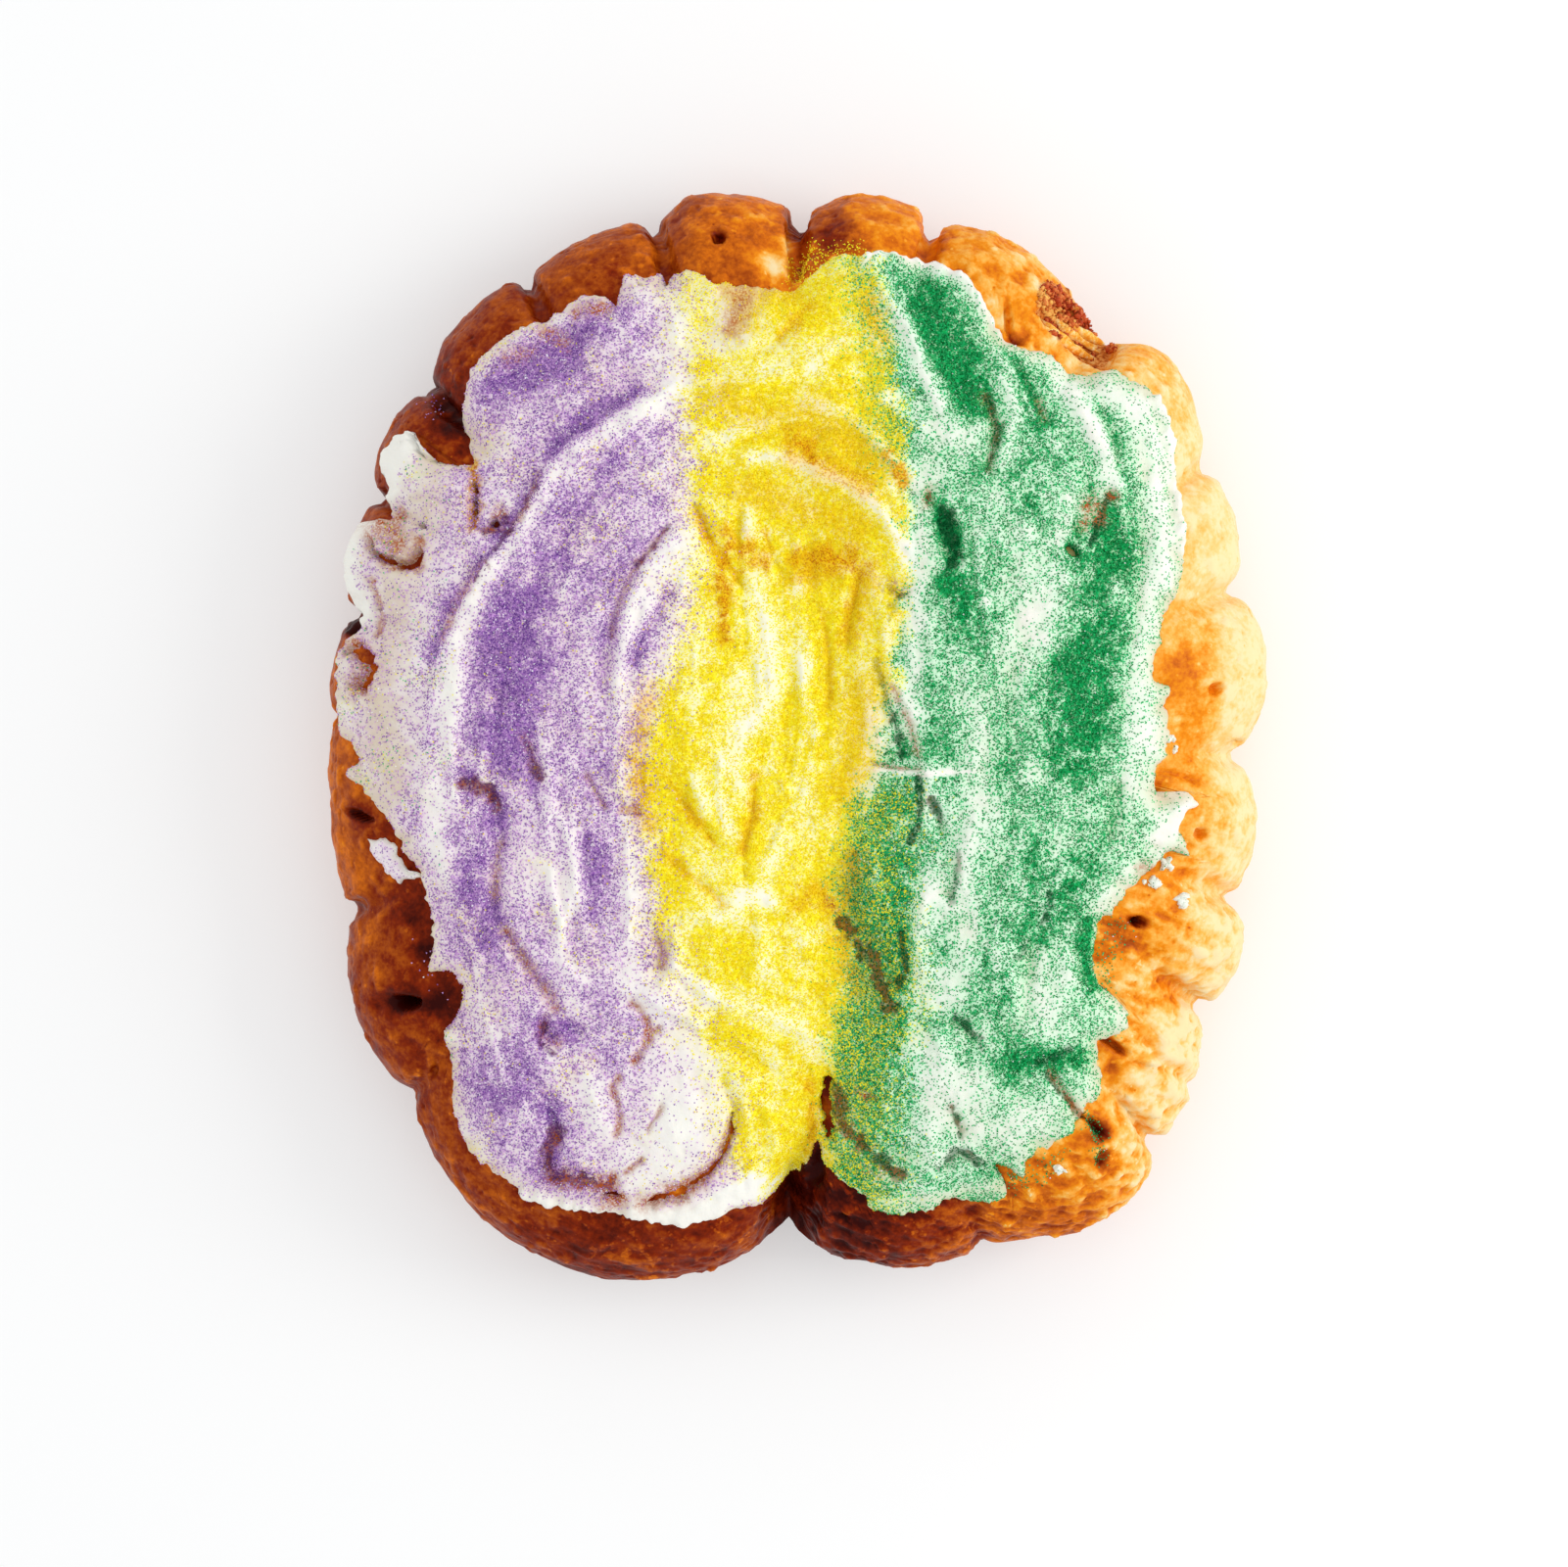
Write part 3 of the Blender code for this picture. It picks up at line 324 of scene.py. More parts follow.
# Relief of the icing: height, half width on the left and on the right of the route, and the route
# of each ridge (above 0) or groove. The narrow side is the steep one.
RELIEF = (
    # the lobe at the upper left
    (1.6, 4.0, 2.0, ((-90, 84), (-88, 93), (-83, 100), (-75, 107), (-67, 112), (-58, 117.5))),
    (-1.7, 6.0, 2.6, ((-54, 113), (-64, 107.5), (-74, 100.5), (-82, 93))),
    (-1.7, 2.6, 6.0, ((-40, 97), (-48, 92), (-56, 86), (-63, 81), (-70, 73))),
    (0.6, 3.0, 3.0, ((-48, 121), (-47, 112), (-45, 102))),
    (0.8, 3.0, 3.0, ((-36, 123), (-33, 112), (-32, 104))),
    # the long swirl down the left, with its crest over a thin groove
    (2.3, 8.0, 1.5, ((-28, 96), (-38, 91.5), (-47, 87.3), (-55, 82.8), (-62, 78), (-67, 72.5),
                     (-71, 66.5), (-75.5, 58.5), (-80, 51.5), (-86.5, 44), (-91.5, 35), (-95, 28))),
    (1.3, 7.0, 3.4, ((-90, 37), (-95.5, 26), (-98, 15), (-99.5, 0), (-101, -10), (-102, -20),
                     (-101, -32), (-99, -46))),
    (-1.0, 1.2, 2.4, ((-72, 68), (-77, 58.5), (-82, 51), (-88.5, 43.5), (-94, 34), (-98, 25),
                      (-100.5, 14), (-102, 0), (-104, -12))),
    (-1.5, 7.0, 7.0, ((-46, 77), (-58, 63), (-68, 48), (-76, 31), (-79, 14), (-77, -4))),
    # the second swirl, between the purple and the yellow
    (1.5, 5.0, 2.2, ((-25, 58), (-34, 52.3), (-41, 44.8), (-45.5, 36), (-48, 27), (-49.3, 15))),
    (0.9, 4.0, 2.6, ((-48, 20), (-49.3, 8), (-49, -8), (-47, -24))),
    (-1.4, 1.5, 4.0, ((-36, 54.5), (-43.5, 47), (-48.5, 37), (-51, 27), (-52.5, 15), (-53, 2))),
    (-0.9, 1.8, 1.8, ((-34, 40), (-40, 30), (-45, 20), (-46, 10))),
    (0.7, 1.6, 1.6, ((-26, 52), (-31, 42), (-34, 30))),
    (-0.8, 1.0, 1.0, ((-59, -10), (-56, -15), (-52, -22))),
    # the lower left
    (1.0, 1.5, 1.5, ((-70, 4), (-69, -8), (-67, -19), (-63, -29), (-61, -38), (-62, -46),
                     (-65, -54), (-65, -61), (-61, -67), (-55, -70))),
    (-1.3, 2.2, 2.2, ((-74, 2), (-73, -6), (-70, -14))),
    (1.0, 1.8, 1.8, ((-47, -28), (-46.5, -40), (-46, -50), (-46, -62))),
    (-1.9, 2.0, 2.4, ((-93, -12), (-88, -15.5), (-84, -18), (-81.5, -24), (-82, -33), (-83, -43),
                      (-82, -52), (-78, -58), (-73, -65), (-68, -71), (-65, -76))),
    (0.7, 1.6, 1.6, ((-93, -66), (-88, -74), (-85, -84))),
    (-1.9, 3.2, 1.2, ((-69.5, -78), (-69.5, -83), (-65, -85))),
    (-1.2, 3.6, 3.6, ((-65, -81), (-58, -83))),
    (0.6, 1.0, 1.0, ((-68, -76.5), (-62, -77.5), (-56, -80))),
    (1.4, 2.6, 1.2, ((-56, -69), (-49, -71), (-43, -71.5), (-38, -75.5), (-30, -79), (-23, -85))),
    (-2.1, 1.4, 2.2, ((-70, -98), (-67, -106), (-65.5, -113), (-69, -118), (-67.5, -122),
                      (-60, -123.5), (-52, -124.5))),
    (0.7, 3.0, 3.0, ((-91, -110), (-80, -120.5), (-66, -128), (-48, -130.5), (-30, -133))),
    (1.3, 7.0, 7.0, ((-42, -116), (-32, -108), (-27, -98))),
    (-1.6, 2.4, 1.2, ((-20, -98), (-17, -106), (-20, -114), (-27, -121), (-38, -126.5))),
    (0.9, 2.6, 2.6, ((-60, -92), (-56, -100), (-55, -110))),
    (-0.7, 1.2, 1.2, ((-37, -97), (-37, -103), (-41, -109))),
    # the middle: soft folds and grooves
    (1.4, 1.7, 4.0, ((-12, 75), (-3, 75), (5, 71.5), (13, 68), (21, 62), (26.5, 55), (30, 47))),
    (1.1, 4.0, 1.7, ((2, 90), (11, 88), (19, 81.5), (25, 75), (28.5, 70))),
    (-1.0, 5.0, 5.0, ((-2, 82), (10, 80), (20, 73))),
    (0.8, 2.2, 2.2, ((-28, 88), (-16, 92), (-2, 98), (10, 104))),
    (-1.1, 1.6, 1.6, ((4, 118), (-1, 112), (-6, 107), (-14, 103))),
    (0.6, 3.0, 3.0, ((-4, 122), (8, 120), (16, 112))),
    (-1.6, 1.6, 2.2, ((-31, 68), (-27, 59), (-23.5, 51), (-18, 44), (-14, 38))),
    (-0.9, 1.2, 1.2, ((-9, 55), (-6, 47), (-2, 40))),
    (0.7, 2.4, 2.4, ((-20, 70), (-14, 58), (-12, 50))),
    (1.4, 2.6, 2.0, ((-13, 44), (-9.5, 32), (-8, 20), (-8, 10), (-11, 3))),
    (-1.3, 1.2, 1.6, ((6, 36), (8, 26), (8.5, 14), (8, 2))),
    (-1.7, 1.4, 2.4, ((18, 47), (16, 37), (14, 27), (13, 19))),
    (0.7, 1.6, 1.6, ((1, 34), (2, 20), (1, 6))),
    (-1.2, 1.3, 1.3, ((-14, -44), (-15, -34), (-12.5, -22), (-11.5, -11))),
    (-1.3, 1.5, 1.5, ((-33, -17), (-28, -24), (-22, -32))),
    (1.1, 1.2, 1.2, ((-21, -6), (-22, -16), (-20, -27))),
    (1.0, 1.2, 1.2, ((-29, -13), (-25.5, -21), (-22, -28))),
    (0.8, 1.6, 1.6, ((-7, -8), (-3, -18), (-6, -30), (-12, -44))),
    (-0.9, 1.4, 1.4, ((2, -12), (-5, -24), (-10, -36))),
    (-1.0, 1.8, 1.8, ((-36, -34), (-28, -41), (-20, -47))),
    (1.0, 2.4, 2.4, ((-14, -46), (-22, -50), (-33, -52))),
    (0.8, 1.8, 1.8, ((-12, -47), (-10, -58), (-14, -68))),
    (1.0, 2.0, 2.0, ((-10, -46), (-3, -48), (1, -56), (6, -66))),
    (-1.3, 1.6, 1.6, ((-40, -54), (-37, -61), (-39, -67))),
    (1.3, 2.0, 1.4, ((-35, -53), (-33.5, -60), (-36, -68), (-43, -72))),
    (-3.4, 5.0, 3.6, ((5, -40), (9.5, -47), (14, -54), (19, -61), (22.5, -68), (25, -75))),
    (-2.0, 2.0, 2.0, ((13, -53.5), (16.5, -58))),
    (-2.0, 2.0, 2.0, ((21.5, -67), (24.5, -73))),
    (1.2, 2.6, 2.6, ((-30, -70), (-16, -76), (-4, -80), (6, -86))),
    (0.9, 2.2, 2.2, ((-22, -88), (-12, -98), (-7, -110), (-4, -122))),
    (-1.2, 2.2, 2.2, ((-30, -82), (-16, -88), (-4, -96))),
    (0.8, 2.4, 2.4, ((-14, -96), (-16, -112), (-14, -124))),
    # the upper right: a crest over the hollow full of green sugar
    (1.6, 4.0, 1.5, ((17, 128), (21, 122.5), (25, 116.5), (29, 110.5), (32.5, 103.5), (35, 96),
                     (38, 90), (42, 83))),
    (-1.9, 5.5, 5.5, ((30, 122), (37, 113), (42, 103), (46, 94), (49, 89))),
    (1.0, 3.0, 3.0, ((34, 128), (43, 123), (50, 114), (54, 107))),
    (1.0, 2.2, 2.2, ((52, 104), (56.5, 95), (58.5, 86), (56, 77), (54, 70))),
    (-1.2, 1.2, 1.2, ((49, 93), (53.5, 86), (53.5, 78), (51, 71))),
    (-1.5, 1.5, 1.5, ((59, 101), (63, 94), (66, 86))),
    (1.0, 2.4, 2.4, ((71, 99), (76, 90), (81, 80), (86, 70), (88, 63))),
    (-1.1, 1.3, 1.3, ((80, 92), (84.5, 83), (87, 74), (88, 68))),
    (0.8, 2.0, 2.0, ((68, 80), (74, 70), (78, 66))),
    # the rim along the right
    (1.5, 4.0, 5.0, ((78, 97), (90, 90.5), (97, 80.5), (101, 70), (102.5, 55), (102, 42),
                     (98.5, 30), (95.5, 18), (97, 4), (96, -12), (98, -25))),
    (-1.0, 1.4, 2.4, ((91, 86), (94.5, 74), (94, 60), (94, 45), (92, 30), (90, 10))),
    (-1.7, 5.0, 5.0, ((86, 66), (87, 52), (87, 40))),
    (-1.0, 1.4, 1.4, ((85, 11), (82, 3), (80, -3))),
    (-1.6, 1.6, 2.2, ((88, -12), (86.5, -22), (84, -33))),
    (0.8, 3.4, 3.4, ((90, -34), (84, -45), (80, -50))),
    # the step down the middle of the green, and what lies below it
    (1.6, 5.0, 1.2, ((22, 24), (25, 15), (28.5, 7), (32, -2), (34.3, -10), (35, -20), (33.5, -30))),
    (-1.4, 1.2, 4.0, ((22, 12), (27, 2), (31, -8))),
    (0.5, 0.6, 0.6, ((14, -12.5), (22, -10.5), (33, -11.5), (42, -11))),
    (-1.6, 1.3, 1.3, ((36, -19), (38.5, -24), (39.5, -30))),
    (1.4, 3.6, 1.5, ((50, -20), (46.5, -29), (44.8, -38), (43, -46))),
    (-1.6, 1.3, 3.0, ((43, -33), (43, -40), (41, -47))),
    (1.4, 3.0, 3.0, ((37, -43), (33, -52), (32.5, -62), (36, -72))),
    (1.3, 4.0, 4.0, ((37, -80), (39, -90), (38, -100))),
    (-1.9, 1.6, 1.6, ((41, -79.5), (46, -81), (50, -87))),
    (0.9, 2.4, 2.4, ((52, -52), (56, -62), (60, -74))),
    (-1.2, 2.4, 2.4, ((68, -52), (64, -62), (60, -84))),
    (1.0, 2.2, 2.2, ((74, -56), (74, -68), (70, -78))),
    (-1.2, 2.2, 2.2, ((64, -88), (72, -91), (76, -88))),
    (-1.5, 1.0, 1.0, ((69, -93), (73, -99), (77, -105))),
    (-1.7, 1.2, 1.2, ((39, -121), (44, -116.5), (51, -119))),
    (-1.6, 1.4, 1.4, ((42.5, -104), (45.5, -111))),
    (-1.6, 1.4, 1.4, ((53, -118), (57, -121), (61, -123))),
    (-1.2, 3.0, 3.0, ((21, -117), (26, -120))),
    (1.0, 2.6, 2.6, ((34, -104), (36, -114), (34, -124))),
    (0.9, 2.6, 2.6, ((12, -92), (20, -92), (28, -96))),
    # the thick lips on the left
    (1.8, 4.0, 4.0, ((-124, 56), (-125, 45), (-123, 34))),
    (1.5, 3.4, 3.4, ((-107, 79), (-111, 71), (-112, 62))),
    (1.0, 3.0, 3.0, ((-125, 22), (-125, 8), (-121, -4), (-114, -16))),
)

# Wide passes of the spatula, each of which leaves fine lines: depth, half width and route.
PASSES = (
    (0.58, 13.0, ((-30, 108), (-52, 92), (-72, 64), (-86, 36), (-90, 0), (-90, -30))),
    (0.58, 12.0, ((-30, 74), (-50, 56), (-64, 30), (-66, 0), (-66, -30), (-60, -66))),
    (0.53, 12.0, ((-34, 40), (-38, 10), (-36, -20), (-36, -50))),
    (0.73, 13.0, ((-8, 66), (-8, 36), (-6, 6), (-8, -24))),
    (0.63, 12.0, ((10, 60), (12, 30), (12, 0), (8, -24))),
    (0.63, 11.0, ((-24, 84), (0, 90), (22, 84), (34, 66), (38, 46))),
    (0.63, 12.0, ((-36, -58), (-16, -70), (2, -78), (16, -88))),
    (0.63, 12.0, ((-14, -90), (-8, -108), (-8, -128))),
    (0.53, 12.0, ((-84, -56), (-78, -84), (-70, -108))),
    (0.63, 12.0, ((48, 116), (66, 94), (78, 66), (78, 30), (74, 0))),
    (0.63, 12.0, ((50, 70), (56, 40), (56, 10), (56, -20))),
    (0.63, 13.0, ((68, -20), (62, -46), (58, -74), (56, -100))),
    (0.53, 10.0, ((26, 40), (30, 10), (30, -20), (28, -50))),
    (0.53, 10.0, ((26, -84), (24, -104), (30, -124))),
)  # fmt: skip

# Places where the icing is gone and the crust shows: strength, half width and route.
BARE = (
    (1.0, 1.1, ((-117, 52), (-115, 48), (-111, 46.5), (-106, 45.5), (-103.5, 49))),
    (1.0, 2.2, ((-123, 22), (-119, 21), (-117, 18), (-118.5, 13))),
    (0.7, 0.6, ((-88.5, 68), (-88, 64), (-88.5, 59))),
    (0.9, 0.9, ((-54, -127), (-49.5, -127))),
    (0.9, 0.7, ((-30, -125), (-25, -121.5), (-21, -117), (-18.5, -111), (-18, -105))),
    (1.0, 1.1, ((-41, -129), (-36, -127.5), (-31, -126))),
    (1.0, 1.7, ((7.8, -96.5), (8, -102), (8.4, -107), (8.4, -112))),
    (0.9, 1.2, ((102.5, -13), (100, -15.5))),
)
# Places where it is so thin that the crust stains it.
STAINS = (
    (0.95, 2.0, ((-60, 115), (-53, 115.5))),
    (0.75, 2.2, ((-70, 109.5), (-64, 106.5))),
    (0.65, 2.2, ((-79, 101), (-73, 103.5))),
    (0.60, 1.1, ((-71, 70), (-74, 62), (-79, 54))),
    (0.65, 1.3, ((-86, 46), (-93, 35), (-97, 25))),
    (0.80, 4.2, ((-114, 57), (-109, 52))),
    (0.90, 1.8, ((-115, 58), (-110, 60))),
    (0.80, 1.8, ((-104, 52), (-104, 46))),
    (0.90, 1.4, ((-117, 53), (-113, 46.5), (-104, 45))),
    (0.70, 1.0, ((-115.5, 41), (-114.5, 34), (-115.5, 26))),
    (0.90, 3.0, ((-122, 24), (-118, 20), (-119, 12))),
    (0.80, 1.6, ((-89, 72), (-88, 64), (-89, 56))),
    (0.80, 2.2, ((-81, 59), (-84, 56))),
    (0.75, 1.6, ((-91, -14), (-86, -16), (-82, -21))),
    (0.60, 1.2, ((-82, -31), (-83, -46))),
    (0.70, 1.6, ((-80, -55), (-74, -64), (-66, -76))),
    (0.55, 1.4, ((-75, -2), (-71, -12))),
    (0.55, 0.8, ((-58, -12), (-53, -21))),
    (0.50, 1.2, ((-37, 54.5), (-44, 46), (-49, 36), (-51, 26))),
    (0.60, 1.6, ((-69.5, -79), (-69.5, -84), (-66, -85.5))),
    (0.80, 1.7, ((-66, -111), (-69, -118), (-67, -122), (-55, -124))),
    (0.90, 1.5, ((-62, -122.5), (-54, -124), (-48, -126.5))),
    (0.85, 1.1, ((-45, -74.5), (-41.5, -79), (-41, -83.5), (-42.5, -87), (-44.5, -90.5))),
    (0.70, 0.8, ((-41, -83), (-38.5, -81.5))),
    (0.75, 0.9, ((-49, -94.5), (-51, -97.5), (-49.5, -102), (-49, -106), (-49.5, -110))),
    (0.60, 0.7, ((-37.5, -103), (-41, -109))),
    (0.80, 0.8, ((-47, -120), (-44, -118), (-42.5, -117))),
    (0.95, 2.4, ((-63, -121.5), (-56, -123.5), (-50, -123.5))),
    (0.95, 2.4, ((-53, -127.5), (-49, -127.5))),
    (1.00, 2.4, ((-42, -128), (-36, -126.5), (-31, -125), (-26, -122))),
    (0.80, 1.4, ((-26, -122), (-21, -116), (-18.5, -109))),
    (0.62, 4.2, ((-9, 128), (-14, 121), (-18, 112))),
    (0.55, 1.2, ((-24, -120), (-19.5, -113), (-18.5, -106))),
    (0.80, 1.4, ((36, 65.5), (35.5, 62.5))),
    (0.85, 2.0, ((79.5, 64), (78.5, 57))),
    (0.85, 1.7, ((82, 62), (83, 58.5))),
    (0.90, 1.2, ((85, 65), (87, 64))),
    (0.60, 1.0, ((66, 90), (67, 85))),
    (0.40, 1.4, ((50, 92), (54, 84), (52, 72))),
    (0.55, 2.2, ((12.5, -53), (17, -58.5))),
    (0.50, 2.4, ((20.5, -63), (22.5, -69), (25, -75))),
    (0.70, 2.0, ((10.5, -101), (11.5, -106), (14.5, -112))),
    (0.55, 3.0, ((11, -100), (14, -108), (17, -114))),
    (0.90, 1.3, ((17, -99.5), (19.5, -100.5))),
    (0.50, 2.0, ((18, -119), (22, -121), (27, -120.5))),
    (0.70, 0.9, ((69, -93), (73, -99), (77, -105))),
    (0.70, 1.2, ((8, -46), (11, -50))),
    (0.60, 2.2, ((95, -37), (97, -40))),
    (0.60, 1.5, ((-38, -58), (-37, -64))),
    (0.70, 1.4, ((-48, -21), (-44, -22))),
    (0.60, 1.0, ((26, 12), (30, 3), (33, -7))),
    (0.50, 2.0, ((25, 41), (28, 38))),
    (0.60, 0.7, ((21, -9), (27, -10), (33, -10.3))),
)
# Places where it is thin enough to look beige, and the lips that stay thick, white and clean.
THIN = (
    (0.95, 7.0, ((-100, 62), (-108, 44), (-113, 22), (-115, 2), (-110, -14))),
    (0.60, 6.0, ((-88, -40), (-86, -56), (-80, -70))),
    (0.50, 5.0, ((-94, 70), (-84, 82))),
    (0.60, 5.0, ((10, -88), (18, -104), (30, -118))),
    (0.90, 5.0, ((-10, 127), (-14, 120), (-19, 109))),
)
LIPS = (
    (2.2, 4.6, ((-119, 60), (-123.5, 51), (-125, 43), (-122, 34))),
    (2.2, 3.8, ((-103, 82), (-109, 76), (-113, 67))),
    (0.9, 3.0, ((98, -30), (103, -25), (107, -20))),
    (0.5, 5.0, ((-34, -104), (-27, -98), (-30, -88))),
    (0.8, 5.5, ((-38, -100), (-31, -107), (-34, -116))),
    (0.5, 4.0, ((-47, -98), (-45, -112))),
    (0.9, 2.4, ((-76, -126), (-60, -130.5), (-46, -133))),
    (1.3, 4.4, ((-44, -132), (-32, -133), (-20, -128), (-12, -124))),
    (1.0, 2.4, ((-14, -128), (-6, -126))),
    (1.0, 2.4, ((19, 129.5), (29, 131), (40, 127.5), (48.5, 120.5), (56, 110))),
    (0.9, 2.0, ((106, 50), (104, 70), (98, 88))),
    (0.5, 0.6, ((14, -12), (23, -10), (33, -11.5))),
    (1.0, 0.7, ((35, -12), (40, -11.5), (47.5, -11))),
)
LIP_SWELL = 1.4  # how much thicker than its usual round the edge is on a lip

# Places where the sugar is amber.
AMBER = (
    (0.75, 1.3, ((-89, 73), (-88.3, 64), (-89, 56))),
    (0.45, 3.4, ((-18, 121), (-14, 117), (-16, 111))),
    (0.40, 5.0, ((-4, 122), (-12, 120))),
    (0.55, 3.0, ((-41, 10), (-44, -2), (-44, -12), (-41, -26))),
    (0.30, 5.0, ((-22, 92), (-10, 86), (4, 88))),
    (0.45, 3.0, ((20, 46), (17, 36), (14, 26))),
    (0.90, 1.8, ((-19, 52), (-21, 42), (-21, 30))),
    (0.95, 2.6, ((-2, 80), (2, 78), (4, 75))),
    (0.60, 5.0, ((0, 76), (10, 72), (18, 68))),
    (0.90, 3.4, ((0, 48), (8, 48), (14, 47))),
    (0.70, 5.0, ((2, 44), (10, 46))),
    (0.80, 1.6, ((24, 76), (28, 70), (29, 67))),
    (0.70, 2.4, ((-20, 54), (-14, 50), (-9, 46))),
    (0.45, 3.0, ((14, -38), (12, -56), (16, -70))),
    (0.80, 4.0, ((1, 47), (7, 46), (14, 48))),
    (0.85, 1.6, ((-20, 40), (-20.5, 32), (-20.5, 26))),
    (0.80, 2.0, ((-23, 52), (-19, 47), (-14, 51))),
    (0.60, 1.6, ((-27, 59), (-24, 51), (-17, 43))),
    (0.85, 2.2, ((-3, 80.5), (1, 78), (4, 76))),
    (0.80, 1.2, ((27, 73), (29.5, 69.5))),
    (0.35, 6.0, ((0, 83), (12, 80), (20, 74))),
    (0.65, 2.0, ((18, 46), (15.5, 36), (13.5, 25))),
    (0.50, 1.2, ((-9, 55), (-7, 49))),
    (0.40, 1.2, ((6, 34), (8.5, 22), (8, 6))),
    (0.60, 1.4, ((-32, -18), (-28, -24), (-23, -31))),
    (0.60, 1.4, ((-11.5, -12), (-12.5, -22), (-15, -33))),
    (0.55, 1.4, ((-36, -34), (-28, -41), (-21, -47))),
    (0.55, 3.0, ((1, -47), (6, -43), (9, -50))),
    (0.60, 2.0, ((-45, -5), (-43, -13))),
    (0.50, 2.0, ((-37, -12), (-31, -20))),
    (0.55, 1.6, ((3, 117), (-1, 112), (-5, 108))),
    (0.30, 7.0, ((18, 10), (17, -6), (14, -14))),
    (0.35, 5.0, ((-14, 66), (4, 60), (16, 56))),
    (0.65, 1.6, ((3, -96), (4, -108), (4, -118))),
    (0.50, 3.0, ((20, 116), (23, 108))),
    (0.60, 2.0, ((16, -34), (14, -44))),
)
AMBER_RAGGED = 1.6  # how ragged the edges of the amber places are
# Deep folds and the feet of steps, where shade is painted: the sugar and icing there are coloured
# dark.
PAINTED_SHADE_FOLDS = (
    (0.36, 1.1, ((21, 20), (24, 10), (26, 4))),
    (0.60, 1.2, ((26, 4), (27.5, -2), (28.5, -9))),
    (0.90, 1.0, ((33, -13), (33.5, -22), (31, -30))),
    (0.65, 1.4, ((36, -19), (38, -24))),
    (0.42, 1.3, ((44, -34), (43.5, -40), (42, -47))),
    (0.85, 2.2, ((12.5, -53), (16, -58), (18, -62))),
    (1.00, 1.7, ((20, -62), (22.5, -68), (25, -75))),
    (0.60, 1.2, ((28, -56), (29.5, -64), (27, -72))),
    (0.50, 1.4, ((44, -79), (47, -82), (50, -86))),
    (0.50, 1.8, ((66, -91), (74, -87))),
    (0.70, 1.3, ((42, -103), (44.5, -110))),
    (0.85, 1.3, ((39, -120), (44, -115.5), (51, -119))),
    (0.70, 2.0, ((11, -100), (13, -108), (18, -114), (27, -121))),
    (0.80, 0.8, ((68, -94), (73, -100), (79, -107))),
    (0.70, 1.3, ((69, -45), (67.5, -52))),
    (0.45, 1.2, ((60, -62), (63, -58))),
    (0.75, 2.4, ((40, 60), (42, 52), (43, 46))),
    (0.70, 1.2, ((85, 64), (83, 58), (80, 52))),
    (0.36, 2.0, ((25, 40), (27.5, 37), (26, 32))),
    (0.50, 1.2, ((52, 92), (55, 82), (52, 72))),
    (0.55, 2.0, ((-91, -14), (-86, -15), (-82, -20))),
    (0.60, 2.2, ((-80, 58), (-85, 56))),
    (0.50, 1.4, ((-71, 68), (-80, 54), (-88, 42))),
    (0.50, 1.3, ((-36, 56), (-44, 46))),
    (0.75, 2.2, ((-66, -110), (-69, -117), (-66, -122))),
    (0.60, 1.8, ((-64, -122), (-52, -124.5))),
    (0.60, 1.2, ((-69, -80), (-71, -85), (-67, -88))),
    (0.45, 1.6, ((-74, -4), (-71, -12))),
    (0.30, 9.0, ((16, -36), (18, -54), (21, -78))),
    (0.22, 8.0, ((17, -94), (22, -114))),
)
# how ragged the edges of the painted shade are
PAINTED_SHADE_RAGGED = 1.4

# Hollows in the icing: place, half length, half width, turn and depth.
PITS = (
    ((41.5, 53), 8.8, 3.9, 100, 3.4),
    ((75, 49.5), 2.9, 1.5, -42, 7.0),
    ((-83, 57), 1.7, 1.4, 0, 4.5),
    ((-103, 56.5), 1.2, 0.9, 0, 3.5),
    ((-43.5, 123), 0.9, 0.7, 0, 3.0),
    ((35.5, 64), 0.9, 1.6, 0, 2.4),
    ((-115.5, 34), 0.7, 0.7, 0, 3.0),
    ((15, -56), 1.8, 1.4, 30, 2.0),
    ((23.5, -71), 1.8, 1.4, 60, 2.0),
    ((28, 37.5), 1.3, 1.0, 0, 2.0),
)

# ---------------------------------------------------------------- the sugar
# Borders of the colour bands, from the far end of the cake to the cleft.
PURPLE_TO_YELLOW = (
    (-29, 135), (-29, 100), (-28, 80), (-28, 60), (-29, 40), (-33, 20), (-38, 8), (-42, 0),
    (-43, -12), (-41, -25), (-40, -40), (-37, -55), (-32, -68), (-25, -80), (-21, -92), (-18, -105),
    (-16, -120), (-10, -135),
)  # fmt: skip
YELLOW_TO_GREEN = (
    (20, 135), (22, 118), (25, 105), (28, 85), (30, 70), (30, 58), (29, 45), (28, 30), (25, 12),
    (23, 0), (20, -12), (15, -26), (12, -40), (13, -60), (14, -75), (11, -88), (9, -100), (9, -135),
)  # fmt: skip
